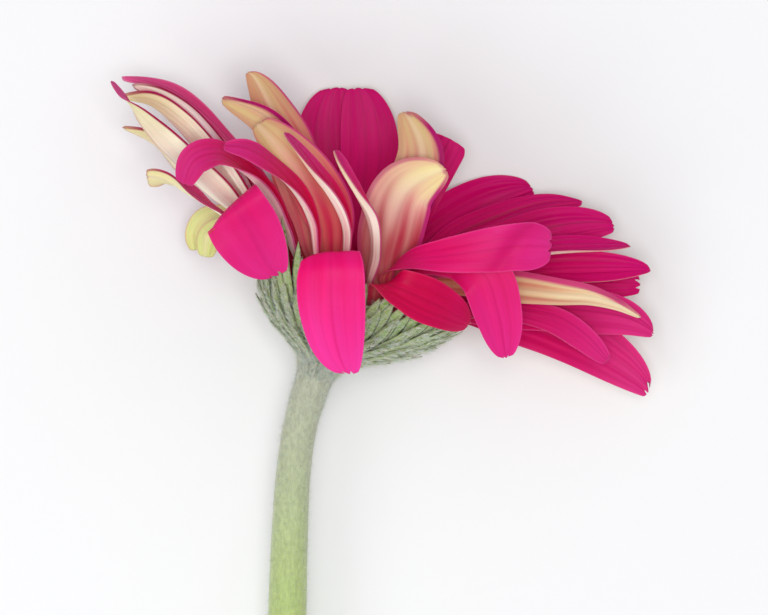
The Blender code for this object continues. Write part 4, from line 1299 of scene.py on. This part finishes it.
@dataclass
class Hairs:
    """Many fine hairs as thin three-sided cones with one bend half way up.

    narrowed is the share of the radius that is left at the bend. A hair whose z is over steep is given its
    sides from the x axis, and any other from the z axis.
    """

    radius: float
    bend: float
    narrowed: float = 0.7
    steep: float = 0.9

    def shape(self, roots: Array, ways: Array, lengths: Array, tints: Array, rng: Rng) -> Shape:
        """Every hair at once: three points at its root, three at its bend and one at its tip.

        Args:
            roots: (hairs, 3), where they grow.
            ways: (hairs, 3), the unit direction of each.
            lengths: (hairs,).
            tints: (hairs, 3), linear colours.
            rng: Random numbers.

        Returns:
            The hairs as one shape.
        """
        helper = np.where(np.abs(ways[:, 2:]) < self.steep, [[0.0, 0.0, 1.0]], [[1.0, 0.0, 0.0]])
        first = unit(np.cross(ways, helper))
        second = np.cross(ways, first)
        spin = rng.uniform(0, TURN, len(roots))[:, None]
        droop = (np.cos(spin) * first + np.sin(spin) * second) * self.bend
        half = (lengths / 2)[:, None]
        middle = roots + ways * half
        tip = middle + unit(ways + droop) * half
        ring = self.radius * circle(first, second, np.arange(3) * TURN / 3)
        levels = [roots[:, None] + ring, middle[:, None] + ring * self.narrowed, tip[:, None]]
        corner, ahead = np.arange(3), np.array([1, 2, 0])
        quads = np.stack([corner, ahead, ahead + 3, corner + 3], axis=1)
        ends = np.concatenate([np.stack([corner + 3, ahead + 3, np.full(3, 6)], axis=1), [[2, 1, 0]]])
        starts = (np.arange(len(roots)) * 7)[:, None, None]
        return Shape(
            np.concatenate(levels, axis=1).reshape(-1, 3),
            (quads + starts).reshape(-1, 4),
            (ends + starts).reshape(-1, 3),
            np.zeros((len(roots) * 7, 2)),
            np.repeat(tints, 7, axis=0),
        )


# --- The green cup ---------------------------------------------------------------------------------------


@dataclass(frozen=True)
class BractRow:
    """One ring of leaflets: how many, how far inside the cup's wall, their two heights and their width.

    turn shifts the ring by that share of a leaflet, and hairs is how many grow on each leaflet.
    """

    node: str
    leaflets: int
    inset: float
    foot: float
    tip: float
    width: float
    turn: float
    green: Rgb
    hairs: int


@dataclass
class BractCup:
    """The rows of woolly bracts that hold the florets, with their lining and the wool on them.

    wall is the cup's profile, as heights and radii, and lean is how far its rim stands out on its right.
    loose says where the innermost bracts stand away from the florets: the azimuth, how wide round it in
    degrees, how much longer they are there and how far out they lean. A leaflet strays by about turn_error
    degrees round the cup, and its tip by about tip_error millimetres up it. A pair that says range is the
    least and the most that a random number may be.
    """

    wall: Profile = (
        (-3.2, 3.35), (-1.6, 3.5), (-0.6, 3.75), (0.6, 4.4), (1.5, 5.4), (2.7, 7.6),
        (5.7, 12.8), (9.0, 15.6), (12.5, 17.0), (16.0, 17.8), (19.0, 18.3),
    )
    lean: float = 5.4
    loose: tuple[float, float, float, float] = (322.0, 9.0, 8.0, 6.5)
    rows: tuple[BractRow, ...] = (
        BractRow("bracts_inner", 34, 1.9, 8.0, 18.2, 1.5, 0.0, (158, 184, 88), 40),
        BractRow("bracts_inner", 34, 1.55, 6.4, 16.6, 1.5, 0.5, (146, 174, 76), 60),
        BractRow("bracts_middle", 33, 1.2, 4.6, 14.6, 1.5, 0.1, (164, 188, 98), 110),
        BractRow("bracts_middle", 31, 0.9, 2.8, 12.4, 1.5, 0.6, (154, 180, 92), 150),
        BractRow("bracts_outer", 29, 0.6, 1.4, 10.2, 1.45, 0.2, (168, 190, 112), 200),
        BractRow("bracts_outer", 25, 0.3, 0.2, 7.8, 1.35, 0.7, (170, 190, 120), 220),
        BractRow("bracts_outer", 19, 0.05, -1.4, 5.0, 1.3, 0.3, (180, 194, 140), 220),
        BractRow("bracts_outer", 13, 0.0, -2.8, 2.0, 1.2, 0.5, (190, 200, 156), 240),
    )
    along: int = 10
    across: int = 5
    room: float = 0.62
    turn_error: float = 1.2
    tip_error: float = 0.5
    width_range: tuple[float, float] = (0.94, 1.08)
    skew_range: tuple[float, float] = (-2.0, 2.0)
    flare_range: tuple[float, float] = (0.15, 0.90)
    thickness: float = 0.35
    keel: float = 0.17
    shade_range: tuple[float, float] = (0.92, 1.08)
    striped_share: float = 0.35
    stripe: Rgb = (120, 168, 30)
    tip_green: Rgb = (128, 156, 62)
    edge_green: Rgb = (140, 166, 72)
    neck: Rgb = (206, 209, 184)
    dry_tip: Rgb = (140, 118, 64)
    lining_green: Rgb = (140, 160, 92)
    lining_insets: tuple[float, float] = (2.2, 2.75)
    lining_top: float = 14.0
    lining_steps: int = 26
    wool_white: Rgb = (244, 246, 230)
    wool_radius: float = 0.032
    wool_range: tuple[float, float] = (0.7, 2.0)
    floor_gap: float = 0.8
    lowest: float = 0.05
    seed: int = 5

    def points(self, height: Array, inset: Array, azimuth_deg: Array, flare: Array | float) -> Array:
        """Points of the cup, moved in from its wall, whose rim leans out on its right.

        Args:
            height: Up the head's axis.
            inset: How far inside the wall, at right angles to it.
            azimuth_deg: Round the axis.
            flare: How far out.

        Returns:
            The points.
        """
        heights, radii = np.array(self.wall).T
        below, radius, above = (np.interp(height + step, heights, radii) for step in (-0.6, 0.0, 0.6))
        slope = (above - below) / 1.2
        shift = inset / np.hypot(1, slope)
        lean = self.lean * ease(height, 2, 16) * (1 + np.sin(np.radians(azimuth_deg))) / 2
        return HEAD.at(height + shift * slope, radius - shift + lean + flare, azimuth_deg)

    def leaflet(self, row: BractRow, number: int, rng: Rng) -> tuple[Shape, Array, Array]:
        """One lance-shaped leaflet pressed to the cup, with a low keel outside and a ridge inside.

        Args:
            row: Its row.
            number: Its place in the row.
            rng: Random numbers.

        Returns:
            The shape, and its outer surface and normals.
        """
        s = np.linspace(0, 1, self.along)[:, None]
        v = np.linspace(-1, 1, self.across)[None, :]
        middle = 360 * (number + row.turn) / row.leaflets + rng.normal(0, self.turn_error)
        place, spread, longer, leant = self.loose
        loose = (row.node == "bracts_inner") * bump(middle, place, spread)
        tip = row.tip + rng.normal(0, self.tip_error) + longer * loose
        height = row.foot + (tip - row.foot) * s
        outline = (0.85 + 0.15 * smooth(s / 0.35)) * np.clip(1 - s**2.2, 0, 1) ** 0.8
        radius = np.interp(height, *np.array(self.wall).T)
        widest = np.minimum(row.width, self.room * TURN * radius / row.leaflets)
        half = widest * rng.uniform(*self.width_range) * (0.02 + 0.98 * outline)
        turn = np.degrees(half * v / np.maximum(radius, 4.0))
        azimuth = middle + turn + rng.uniform(*self.skew_range) * s
        keel = self.keel * (1 - v**2) * (1 - 0.3 * s) + 0.06 * v
        inset = row.inset * (1 - 0.55 * ease(height, 11, 17)) - keel + 0.5 * (1 - smooth(s / 0.3))
        flare = rng.uniform(*self.flare_range) * s**5 + leant * loose * s**2
        outer = self.points(height, inset, azimuth, flare)
        normals = grid_normals(outer)
        core = [self.across // 2]
        back = outer[:, core] - normals[:, core] * self.thickness * (1 - 0.6 * s[..., None])
        uv = uv_grid(v + 2.3 * number, 2 * s + row.tip)
        tint = self.leaflet_tint(row, s, v, height, rng)
        pairs = (outer, back), (uv, uv[:, core]), (tint, tint[:, :1])
        rings, uv, tint = (np.concatenate(pair, axis=1) for pair in pairs)
        rings[..., 2] = np.maximum(rings[..., 2], self.lowest)
        return turned_shape(rings, uv, tint), outer, normals

    def leaflet_tint(self, row: BractRow, s: Array, v: Array, height: Array, rng: Rng) -> Array:
        """A leaflet's colours: its row's green, at times a bright stripe, and other greens at its ends.

        Args:
            row: Its row.
            s: (along, 1).
            v: (1, across).
            height: (along, 1), up the head's axis.
            rng: Random numbers.

        Returns:
            (along, across, 3), linear.
        """
        colour = linear(row.green) * rng.uniform(*self.shade_range)
        bright = 0.95 * (rng.random() < self.striped_share)
        colour = lay(colour, self.stripe, bright * ease(s, 0.25, 0.55) * bump(v, 0.1, 0.6))
        colour = lay(colour, self.tip_green, 0.75 * ease(s, 0.78, 0.92))
        colour = lay(colour, self.edge_green, 0.7 * ease(np.abs(v), 0.5, 1.0) * (1 - 0.3 * s))
        colour = lay(colour, self.neck, 0.9 * (1 - ease(height, -1.5, 3.5)))
        return lay(colour, self.dry_tip, 0.5 * ease(s, 0.96, 1.0))

    def lining(self) -> Shape:
        """A sheet behind the leaflets: the cup's wall turned round the axis, and back again further in.

        Returns:
            The shape.
        """
        steps, top = self.lining_steps, self.lining_top
        height = np.concatenate([np.linspace(-0.2, top, steps), np.linspace(top, 0.0, steps)])[:, None]
        inset = np.repeat(self.lining_insets, steps)[:, None]
        azimuth = all_round(60)
        rings = self.points(height, inset, azimuth, 0.0)[:, ::-1]
        return turned_shape(rings, uv_grid(azimuth / 10, height / 3), linear(self.lining_green))

    def wool(self, count: int, outer: Array, normals: Array, rng: Rng) -> tuple[Array, Array, Array]:
        """Where one leaflet's hairs grow: low over its back, most of them along it.

        Args:
            count: How many.
            outer: Its outer surface.
            normals: Its normals.
            rng: Random numbers.

        Returns:
            The roots, directions and lengths.
        """
        i = (rng.random(count) ** 0.8 * (self.along * 0.9)).astype(np.int64)
        j = rng.integers(1, self.across - 1, count)
        along, aside = (unit(np.gradient(outer, axis=axis))[i, j] for axis in (0, 1))
        turn = rng.normal(0, 0.7, count)[:, None]
        jitter = aside * rng.uniform(-0.3, 0.3, (count, 1)) + along * rng.uniform(-0.5, 0.5, (count, 1))
        rise = normals[i, j] * rng.uniform(0.04, 0.45, (count, 1))
        ways = unit(np.cos(turn) * along + np.sin(turn) * aside + rise)
        return outer[i, j] + jitter, ways, rng.uniform(*self.wool_range, count)

    def build(self, green: bpy.types.Material, hair: bpy.types.Material) -> None:
        """Writes each row and the wool.

        Args:
            green: The bracts' material.
            hair: The wool's material.
        """
        rng = np.random.default_rng(self.seed)
        shapes: dict[str, list[Shape]] = {"bracts_inner": [self.lining()]}
        grown: dict[str, list[tuple[Array, Array, Array]]] = {}
        for row in self.rows:
            for number in range(row.leaflets):
                shape, outer, normals = self.leaflet(row, number, rng)
                shapes.setdefault(row.node, []).append(shape)
                grown.setdefault(row.node, []).append(self.wool(row.hairs, outer, normals, rng))
        for node, made in shapes.items():
            write_piece(f"{node}_leaflets", gather(made), green, "bract_green", node)
            roots, ways, lengths = (np.concatenate(part) for part in zip(*grown[node]))
            clear = (roots + ways * lengths[:, None])[:, 2] > self.floor_gap
            roots, ways, lengths = roots[clear], ways[clear], lengths[clear]
            tints = linear(self.wool_white) * rng.uniform(0.85, 1.05, (len(roots), 1))
            wool = Hairs(self.wool_radius, bend=0.9).shape(roots, ways, lengths, tints, rng)
            write_piece(f"{node}_wool", wool, hair, "bract_green")


# --- Stem and receptacle ---------------------------------------------------------------------------------


@dataclass
class Stem:
    """The leafless stalk: a ribbed tube on a smooth route, cut flat below and hairy all round.

    A station of the route is x, y and the radius. greens are the colours that come in down the stem, from
    one distance below the head to another. cut is the rings of the cut end: their share of the radius, how
    far past the end they stand and their colour. hair_range is a hair's least and greatest length half way
    down. Near the head it is longer and near the cut end shorter.
    """

    drop: float = 200.0
    cut_radius: float = 3.9
    top_radius: float = 3.5
    route: tuple[tuple[float, float, float], ...] = (
        (-1.5, -5, 3.3), (-3.2, -11, 3.15), (-4.4, -19, 3.2), (-5.2, -32, 3.4), (-5.7, -47, 3.6),
        (-6.4, -75, 3.7), (-6.6, -115, 3.8), (-5.6, -160, 3.85), (-3.8, -200.0, 3.9),
    )
    along: int = 420
    around: int = 56
    room_for_ribs: float = 0.988
    ribs: int = 13
    rib_height: float = 0.010
    bulge_height: float = 0.012
    neck: Rgb = (184, 188, 166)
    greens: tuple[tuple[Rgb, float, float], ...] = (
        ((180, 196, 136), 0, 44), ((178, 202, 102), 20, 80), ((158, 184, 84), 110, 200),
    )
    cut: tuple[tuple[float, float, Rgb], ...] = (
        (0.97, 0.05, (160, 182, 96)), (0.86, 0.02, (196, 210, 150)), (0.80, -0.15, (212, 222, 176)),
        (0.45, -0.35, (226, 232, 200)), (0.12, -0.5, (218, 224, 190)),
    )
    lowest: float = 0.02
    hairs: int = 11000
    hair_radius: float = 0.024
    hair_range: tuple[float, float] = (0.35, 0.95)
    hair_root: float = 0.03
    hair_white: Rgb = (236, 238, 226)
    floor_gap: float = 0.1
    seed: int = 3

    def stations(self) -> Array:
        """The stations down to the cut end, whose height falls as the 0.85th power of the way down.

        Returns:
            (stations, 4), each x, y, z and the radius.
        """
        top = HEAD.at(-0.1, 0, 0)
        x, y, radius = np.array(self.route).T
        z = top[2] + (self.cut_radius - top[2]) * (-y / self.drop) ** 0.85
        return np.concatenate([[[*top, self.top_radius]], np.stack([x, y, z, radius], axis=1)])

    def tube(self) -> tuple[Array, Array, Array]:
        """The tube's surface: the route's point plus the radius, ribbed, at each angle round it.

        Returns:
            (along, around, 3) points, the unit way out at each, and the shares of the length.
        """
        s = np.linspace(0, 1, self.along) ** 1.15
        path = even_spline(self.stations(), s)
        centre, radius = path[:, :3], path[:, 3:]
        tangent = unit(np.gradient(centre, axis=0))
        side = unit(np.cross(tangent, np.array([0.0, 0.0, 1.0])))
        angle = np.linspace(0, TURN, self.around, endpoint=False)
        out = circle(side, np.cross(side, tangent), angle)
        ribs = self.rib_height * np.sin(self.ribs * angle + 1.2 * np.sin(9 * s)[:, None])
        bulges = self.bulge_height * np.sin(3 * angle + 14 * s[:, None])
        full = self.room_for_ribs * radius * (1 + ribs + bulges)
        return centre[:, None] + full[..., None] * out, out, s

    def tint(self, s: Array) -> Array:
        """The skin's colour down the stem: greyish and felted at the neck, then greener and yellower.

        Args:
            s: Shares of its length.

        Returns:
            One linear colour per share.
        """
        colour = linear(self.neck)
        for green, start, end in self.greens:
            colour = lay(colour, green, ease(s * self.drop, start, end))
        return colour

    def stalk(self, surface: Array, s: Array) -> Shape:
        """The tube with its cut end.

        Args:
            surface: The tube's surface.
            s: The shares of the length.

        Returns:
            The shape.
        """
        end = surface[-1]
        centre = end.mean(axis=0)
        axis = unit(centre - surface[-4].mean(axis=0))
        cut = np.array([centre + (end - centre) * share + axis * past for share, past, _ in self.cut])
        cut[..., 2] = np.maximum(cut[..., 2], self.lowest)
        tint = np.concatenate([self.tint(s), [linear(flesh) for _, _, flesh in self.cut]])
        u = np.abs(np.linspace(-1, 1, self.around))
        v = np.concatenate([s * 20, 20 + np.arange(len(cut)) * 0.1])[:, None]
        return turned_shape(np.concatenate([surface, cut])[:, ::-1], uv_grid(u, v), tint[:, None])

    def hair(self, surface: Array, out: Array, s: Array) -> Shape:
        """The hairs, denser and longer towards the head, less those that would reach the floor.

        Args:
            surface: The tube's surface.
            out: The unit way out at each of its points.
            s: The shares of the length.

        Returns:
            The shape.
        """
        rng = np.random.default_rng(self.seed)
        i = np.minimum((rng.random(self.hairs) ** 1.9 * self.along).astype(np.int64), self.along - 1)
        j = rng.integers(0, self.around, self.hairs)
        down = unit(np.gradient(surface[:, 0], axis=0))[i]
        slant = down * rng.normal(0, 0.5, (self.hairs, 1)) + rng.normal(0, 0.35, (self.hairs, 3))
        ways = unit(out[i, j] + slant)
        length = rng.uniform(*self.hair_range, self.hairs) * (1.25 - 0.5 * s[i])
        roots = surface[i, j] - out[i, j] * self.hair_root
        roots = roots + down * rng.uniform(-0.2, 0.2, (self.hairs, 1))
        clear = (roots + ways * length[:, None])[:, 2] > self.floor_gap
        tints = linear(self.hair_white) * rng.uniform(0.8, 1.05, (self.hairs, 1))
        hairs = Hairs(self.hair_radius, bend=0.6)
        return hairs.shape(roots[clear], ways[clear], length[clear], tints[clear], rng)

    def build(self, skin: bpy.types.Material, hair: bpy.types.Material) -> None:
        """Writes the tube with its cut end, and its hairs.

        Args:
            skin: The stem's material.
            hair: The hairs' material.
        """
        surface, out, s = self.tube()
        write_piece("stem_stalk", self.stalk(surface, s), skin, "stem_green", "stem")
        write_piece("stem_hairs", self.hair(surface, out, s), hair, "stem_green")


@dataclass
class Receptacle:
    """The solid base of the head: a profile of heights and radii turned round its axis."""

    profile: Profile = (
        (10.9, 0.4), (10.9, 3.6), (10.7, 7.0), (10.3, 8.4), (9.7, 10.2), (8.9, 11.9), (8.4, 11.5),
        (6.2, 10.2), (4.7, 7.6), (3.2, 5.2), (1.7, 3.6), (0.3, 3.1), (0.3, 0.4),
    )
    around: int = 64
    along: int = 60
    roughness: float = 0.008
    green: Rgb = (150, 168, 104)

    def build(self, finish: bpy.types.Material) -> None:
        """Writes it.

        Args:
            finish: Its material.
        """
        corners = np.array(self.profile)
        length = run_length(corners)
        at = np.linspace(0, length[-1], self.along)
        height, radius = (np.interp(at, length, column)[:, None] for column in corners.T)
        azimuth = all_round(self.around)
        rough = 1 + self.roughness * np.sin(np.radians(azimuth) * 17 + height * 2)
        rings = HEAD.at(height, radius * rough, azimuth)
        body = turned_shape(rings, uv_grid(azimuth / 360, height / 10), linear(self.green))
        write_piece("receptacle_body", body, finish, "stem_green", "receptacle")


@dataclass
class Disc:
    """The middle of the head: small tubular florets on a spiral, open outside and still in bud inside.

    A row of the profile is a share of a tube's height, its width there in bud and how much it widens.
    heights and widths are a tube's in bud and in bloom, and lean is how far the outermost one leans out.
    """

    florets: int = 190
    radius: float = 6.3
    base: float = 10.8
    dome: float = 1.6
    golden_angle: float = 137.50776
    around: int = 8
    heights: tuple[float, float] = (1.5, 3.0)
    widths: tuple[float, float] = (0.26, 0.38)
    lean: float = 0.35
    uneven_range: tuple[float, float] = (0.85, 1.15)
    profile: tuple[tuple[float, float, float], ...] = (
        (0.0, 0.55, 0.0), (0.35, 0.75, 0.0), (0.7, 1.0, 0.1), (0.88, 0.9, 0.9), (1.0, 0.35, 1.4),
    )
    in_bud: Rgb = (150, 158, 62)
    in_bloom: Rgb = (196, 150, 110)
    mouth: Rgb = (170, 60, 90)
    cushion_green: Rgb = (120, 130, 56)
    seed: int = 9

    def tube(self, number: int, taller: float, lighter: float) -> Shape:
        """One floret: its profile turned round a line that leans out the further it is from the middle.

        Args:
            number: Its place on the spiral.
            taller: Its height, as a share of the usual one.
            lighter: Its colour, as a share of the usual one.

        Returns:
            The shape.
        """
        share = math.sqrt((number + 0.5) / self.florets)
        opened = ease(share, 0.45, 0.9)
        sunk = self.dome * (1 - share**2) - 0.6
        seat = HEAD.at(self.base + sunk, share * self.radius, number * self.golden_angle)
        out = unit(seat - HEAD_BASE - HEAD.axis * ((seat - HEAD_BASE) @ HEAD.axis))
        way = unit(HEAD.axis + out * self.lean * share**2)
        first = unit(np.cross(way, HEAD.right))
        rise, width, flare = (column[:, None] for column in np.array(self.profile).T)
        tall, wide = (np.interp(opened, (0, 1), pair) for pair in (self.heights, self.widths))
        turn = np.linspace(0, TURN, self.around, endpoint=False)
        ring = circle(first, np.cross(way, first), turn)
        spread = wide * width * (1 + flare * opened)
        rings = seat + (rise * tall * taller)[..., None] * way + spread[..., None] * ring
        body = lay(linear(self.in_bud), self.in_bloom, opened) * lighter
        tint = lay(body, self.mouth, ease(rise, 0.6, 1.0) * (0.25 + 0.6 * opened))
        return turned_shape(rings, uv_grid(turn / TURN, rise + number * 0.37), tint)

    def cushion(self) -> Shape:
        """The dome that the tubes stand on: it falls by the square of the way out, and turns in below.

        Returns:
            The shape.
        """
        share, azimuth = np.linspace(0, 1, 12)[:, None], all_round(40)
        height = self.base - 0.4 + self.dome * (1 - share**2)
        dome = HEAD.at(height, self.radius * (0.03 + 0.97 * share), azimuth)
        rings = np.concatenate([dome, HEAD.at(11.0, self.radius * 0.9, azimuth)])
        return turned_shape(rings, np.zeros((*rings.shape[:2], 2)), linear(self.cushion_green))

    def build(self, finish: bpy.types.Material) -> None:
        """Writes them as one piece, on the golden-angle spiral.

        Args:
            finish: Their material.
        """
        rng = np.random.default_rng(self.seed)
        taller, lighter = rng.uniform(*self.uneven_range, (2, self.florets))
        tubes = [self.tube(k, taller[k], lighter[k]) for k in range(self.florets)]
        write_piece("disc_tubes", gather([*tubes, self.cushion()]), finish, "disc_yellow", "disc_florets")


# --- Room ------------------------------------------------------------------------------------------------


@dataclass(frozen=True)
class SoftLight:
    """A square soft light: where it hangs and its side, in metres, and its power, in watts."""

    name: str
    place: tuple[float, float, float]
    side: float
    power: float


@dataclass
class Studio:
    """A pale floor, soft light and the camera that looks straight down."""

    floor_side: float = 12.0
    lights: tuple[SoftLight, ...] = (
        SoftLight("key_light", (-0.55, -0.45, 1.0), 0.9, 4.6),
        SoftLight("fill_light", (0.7, 0.5, 1.1), 1.2, 1.1),
        SoftLight("top_light", (0.05, 0.0, 2.8), 1.0, 33.0),
    )
    aim: tuple[float, float, float] = (0.0, 0.08, 0.02)
    sky_colour: Rgb = (0.96, 0.97, 1.0)
    sky: float = 0.42
    view_centre: tuple[float, float] = (0.0, 83.3)
    view_width: float = 141.5
    middle_height: float = 25.0
    camera_height: float = 2500.0
    sensor: float = 36.0

    def floor(self) -> None:
        """Makes the floor as a wide sheet."""
        mesh = bpy.data.meshes.new("floor")
        corners = np.array([(-1, -1, 0), (1, -1, 0), (1, 1, 0), (-1, 1, 0)]) * self.floor_side / 2
        mesh.from_pydata(corners.tolist(), [], [[0, 1, 2, 3]])
        mesh.materials.append(FloorFinish().material())
        obj = bpy.data.objects.new("floor", mesh)
        bpy.context.scene.collection.objects.link(obj)

    def hang(self, light: SoftLight) -> None:
        """Hangs a light that faces the head.

        Args:
            light: The light.
        """
        data = bpy.data.lights.new(light.name, "AREA")
        data.shape, data.size, data.energy = "SQUARE", light.side, light.power
        obj = bpy.data.objects.new(light.name, data)
        obj.location = light.place
        obj.rotation_euler = (Vector(self.aim) - obj.location).to_track_quat("-Z", "Y").to_euler()
        bpy.context.scene.collection.objects.link(obj)

    def camera(self) -> None:
        """Hangs the camera high over the view's centre, with a long lens."""
        data = bpy.data.cameras.new("camera")
        data.sensor_width = self.sensor
        data.lens = self.sensor * (self.camera_height - self.middle_height) / self.view_width
        data.clip_start, data.clip_end = 0.1, 20.0
        obj = bpy.data.objects.new("camera", data)
        obj.location = Vector((*self.view_centre, self.camera_height)) * MM
        bpy.context.scene.collection.objects.link(obj)
        bpy.context.scene.camera = obj

    def build(self) -> None:
        """Makes the room."""
        self.floor()
        for light in self.lights:
            self.hang(light)
        world = bpy.data.worlds.new("studio")
        world.use_nodes = True
        sky = world.node_tree.nodes["Background"]
        sky.inputs["Color"].default_value = (*self.sky_colour, 1)
        sky.inputs["Strength"].default_value = self.sky
        bpy.context.scene.world = world
        bpy.context.scene.view_settings.view_transform = "Standard"
        self.camera()


def main() -> None:
    """Builds the flower piece by piece, then the room round it."""
    logging.basicConfig(level=logging.INFO, format="%(name)s %(message)s")
    hair = HairFinish().material()
    woolly = WoollyFinish("bract_felt").material()
    skin = StemFinish().material()
    Stem().build(skin, hair)
    Receptacle().build(WoollyFinish("receptacle_felt", cover=0.3).material())
    BractCup().build(woolly, hair)
    Disc().build(WoollyFinish("disc_floret_skin", wool=(220, 214, 170), cover=0.15, depth=0.04).material())
    RayFlorets().build(PetalFinish().material())
    Studio().build()


if __name__ == "__main__":
    main()
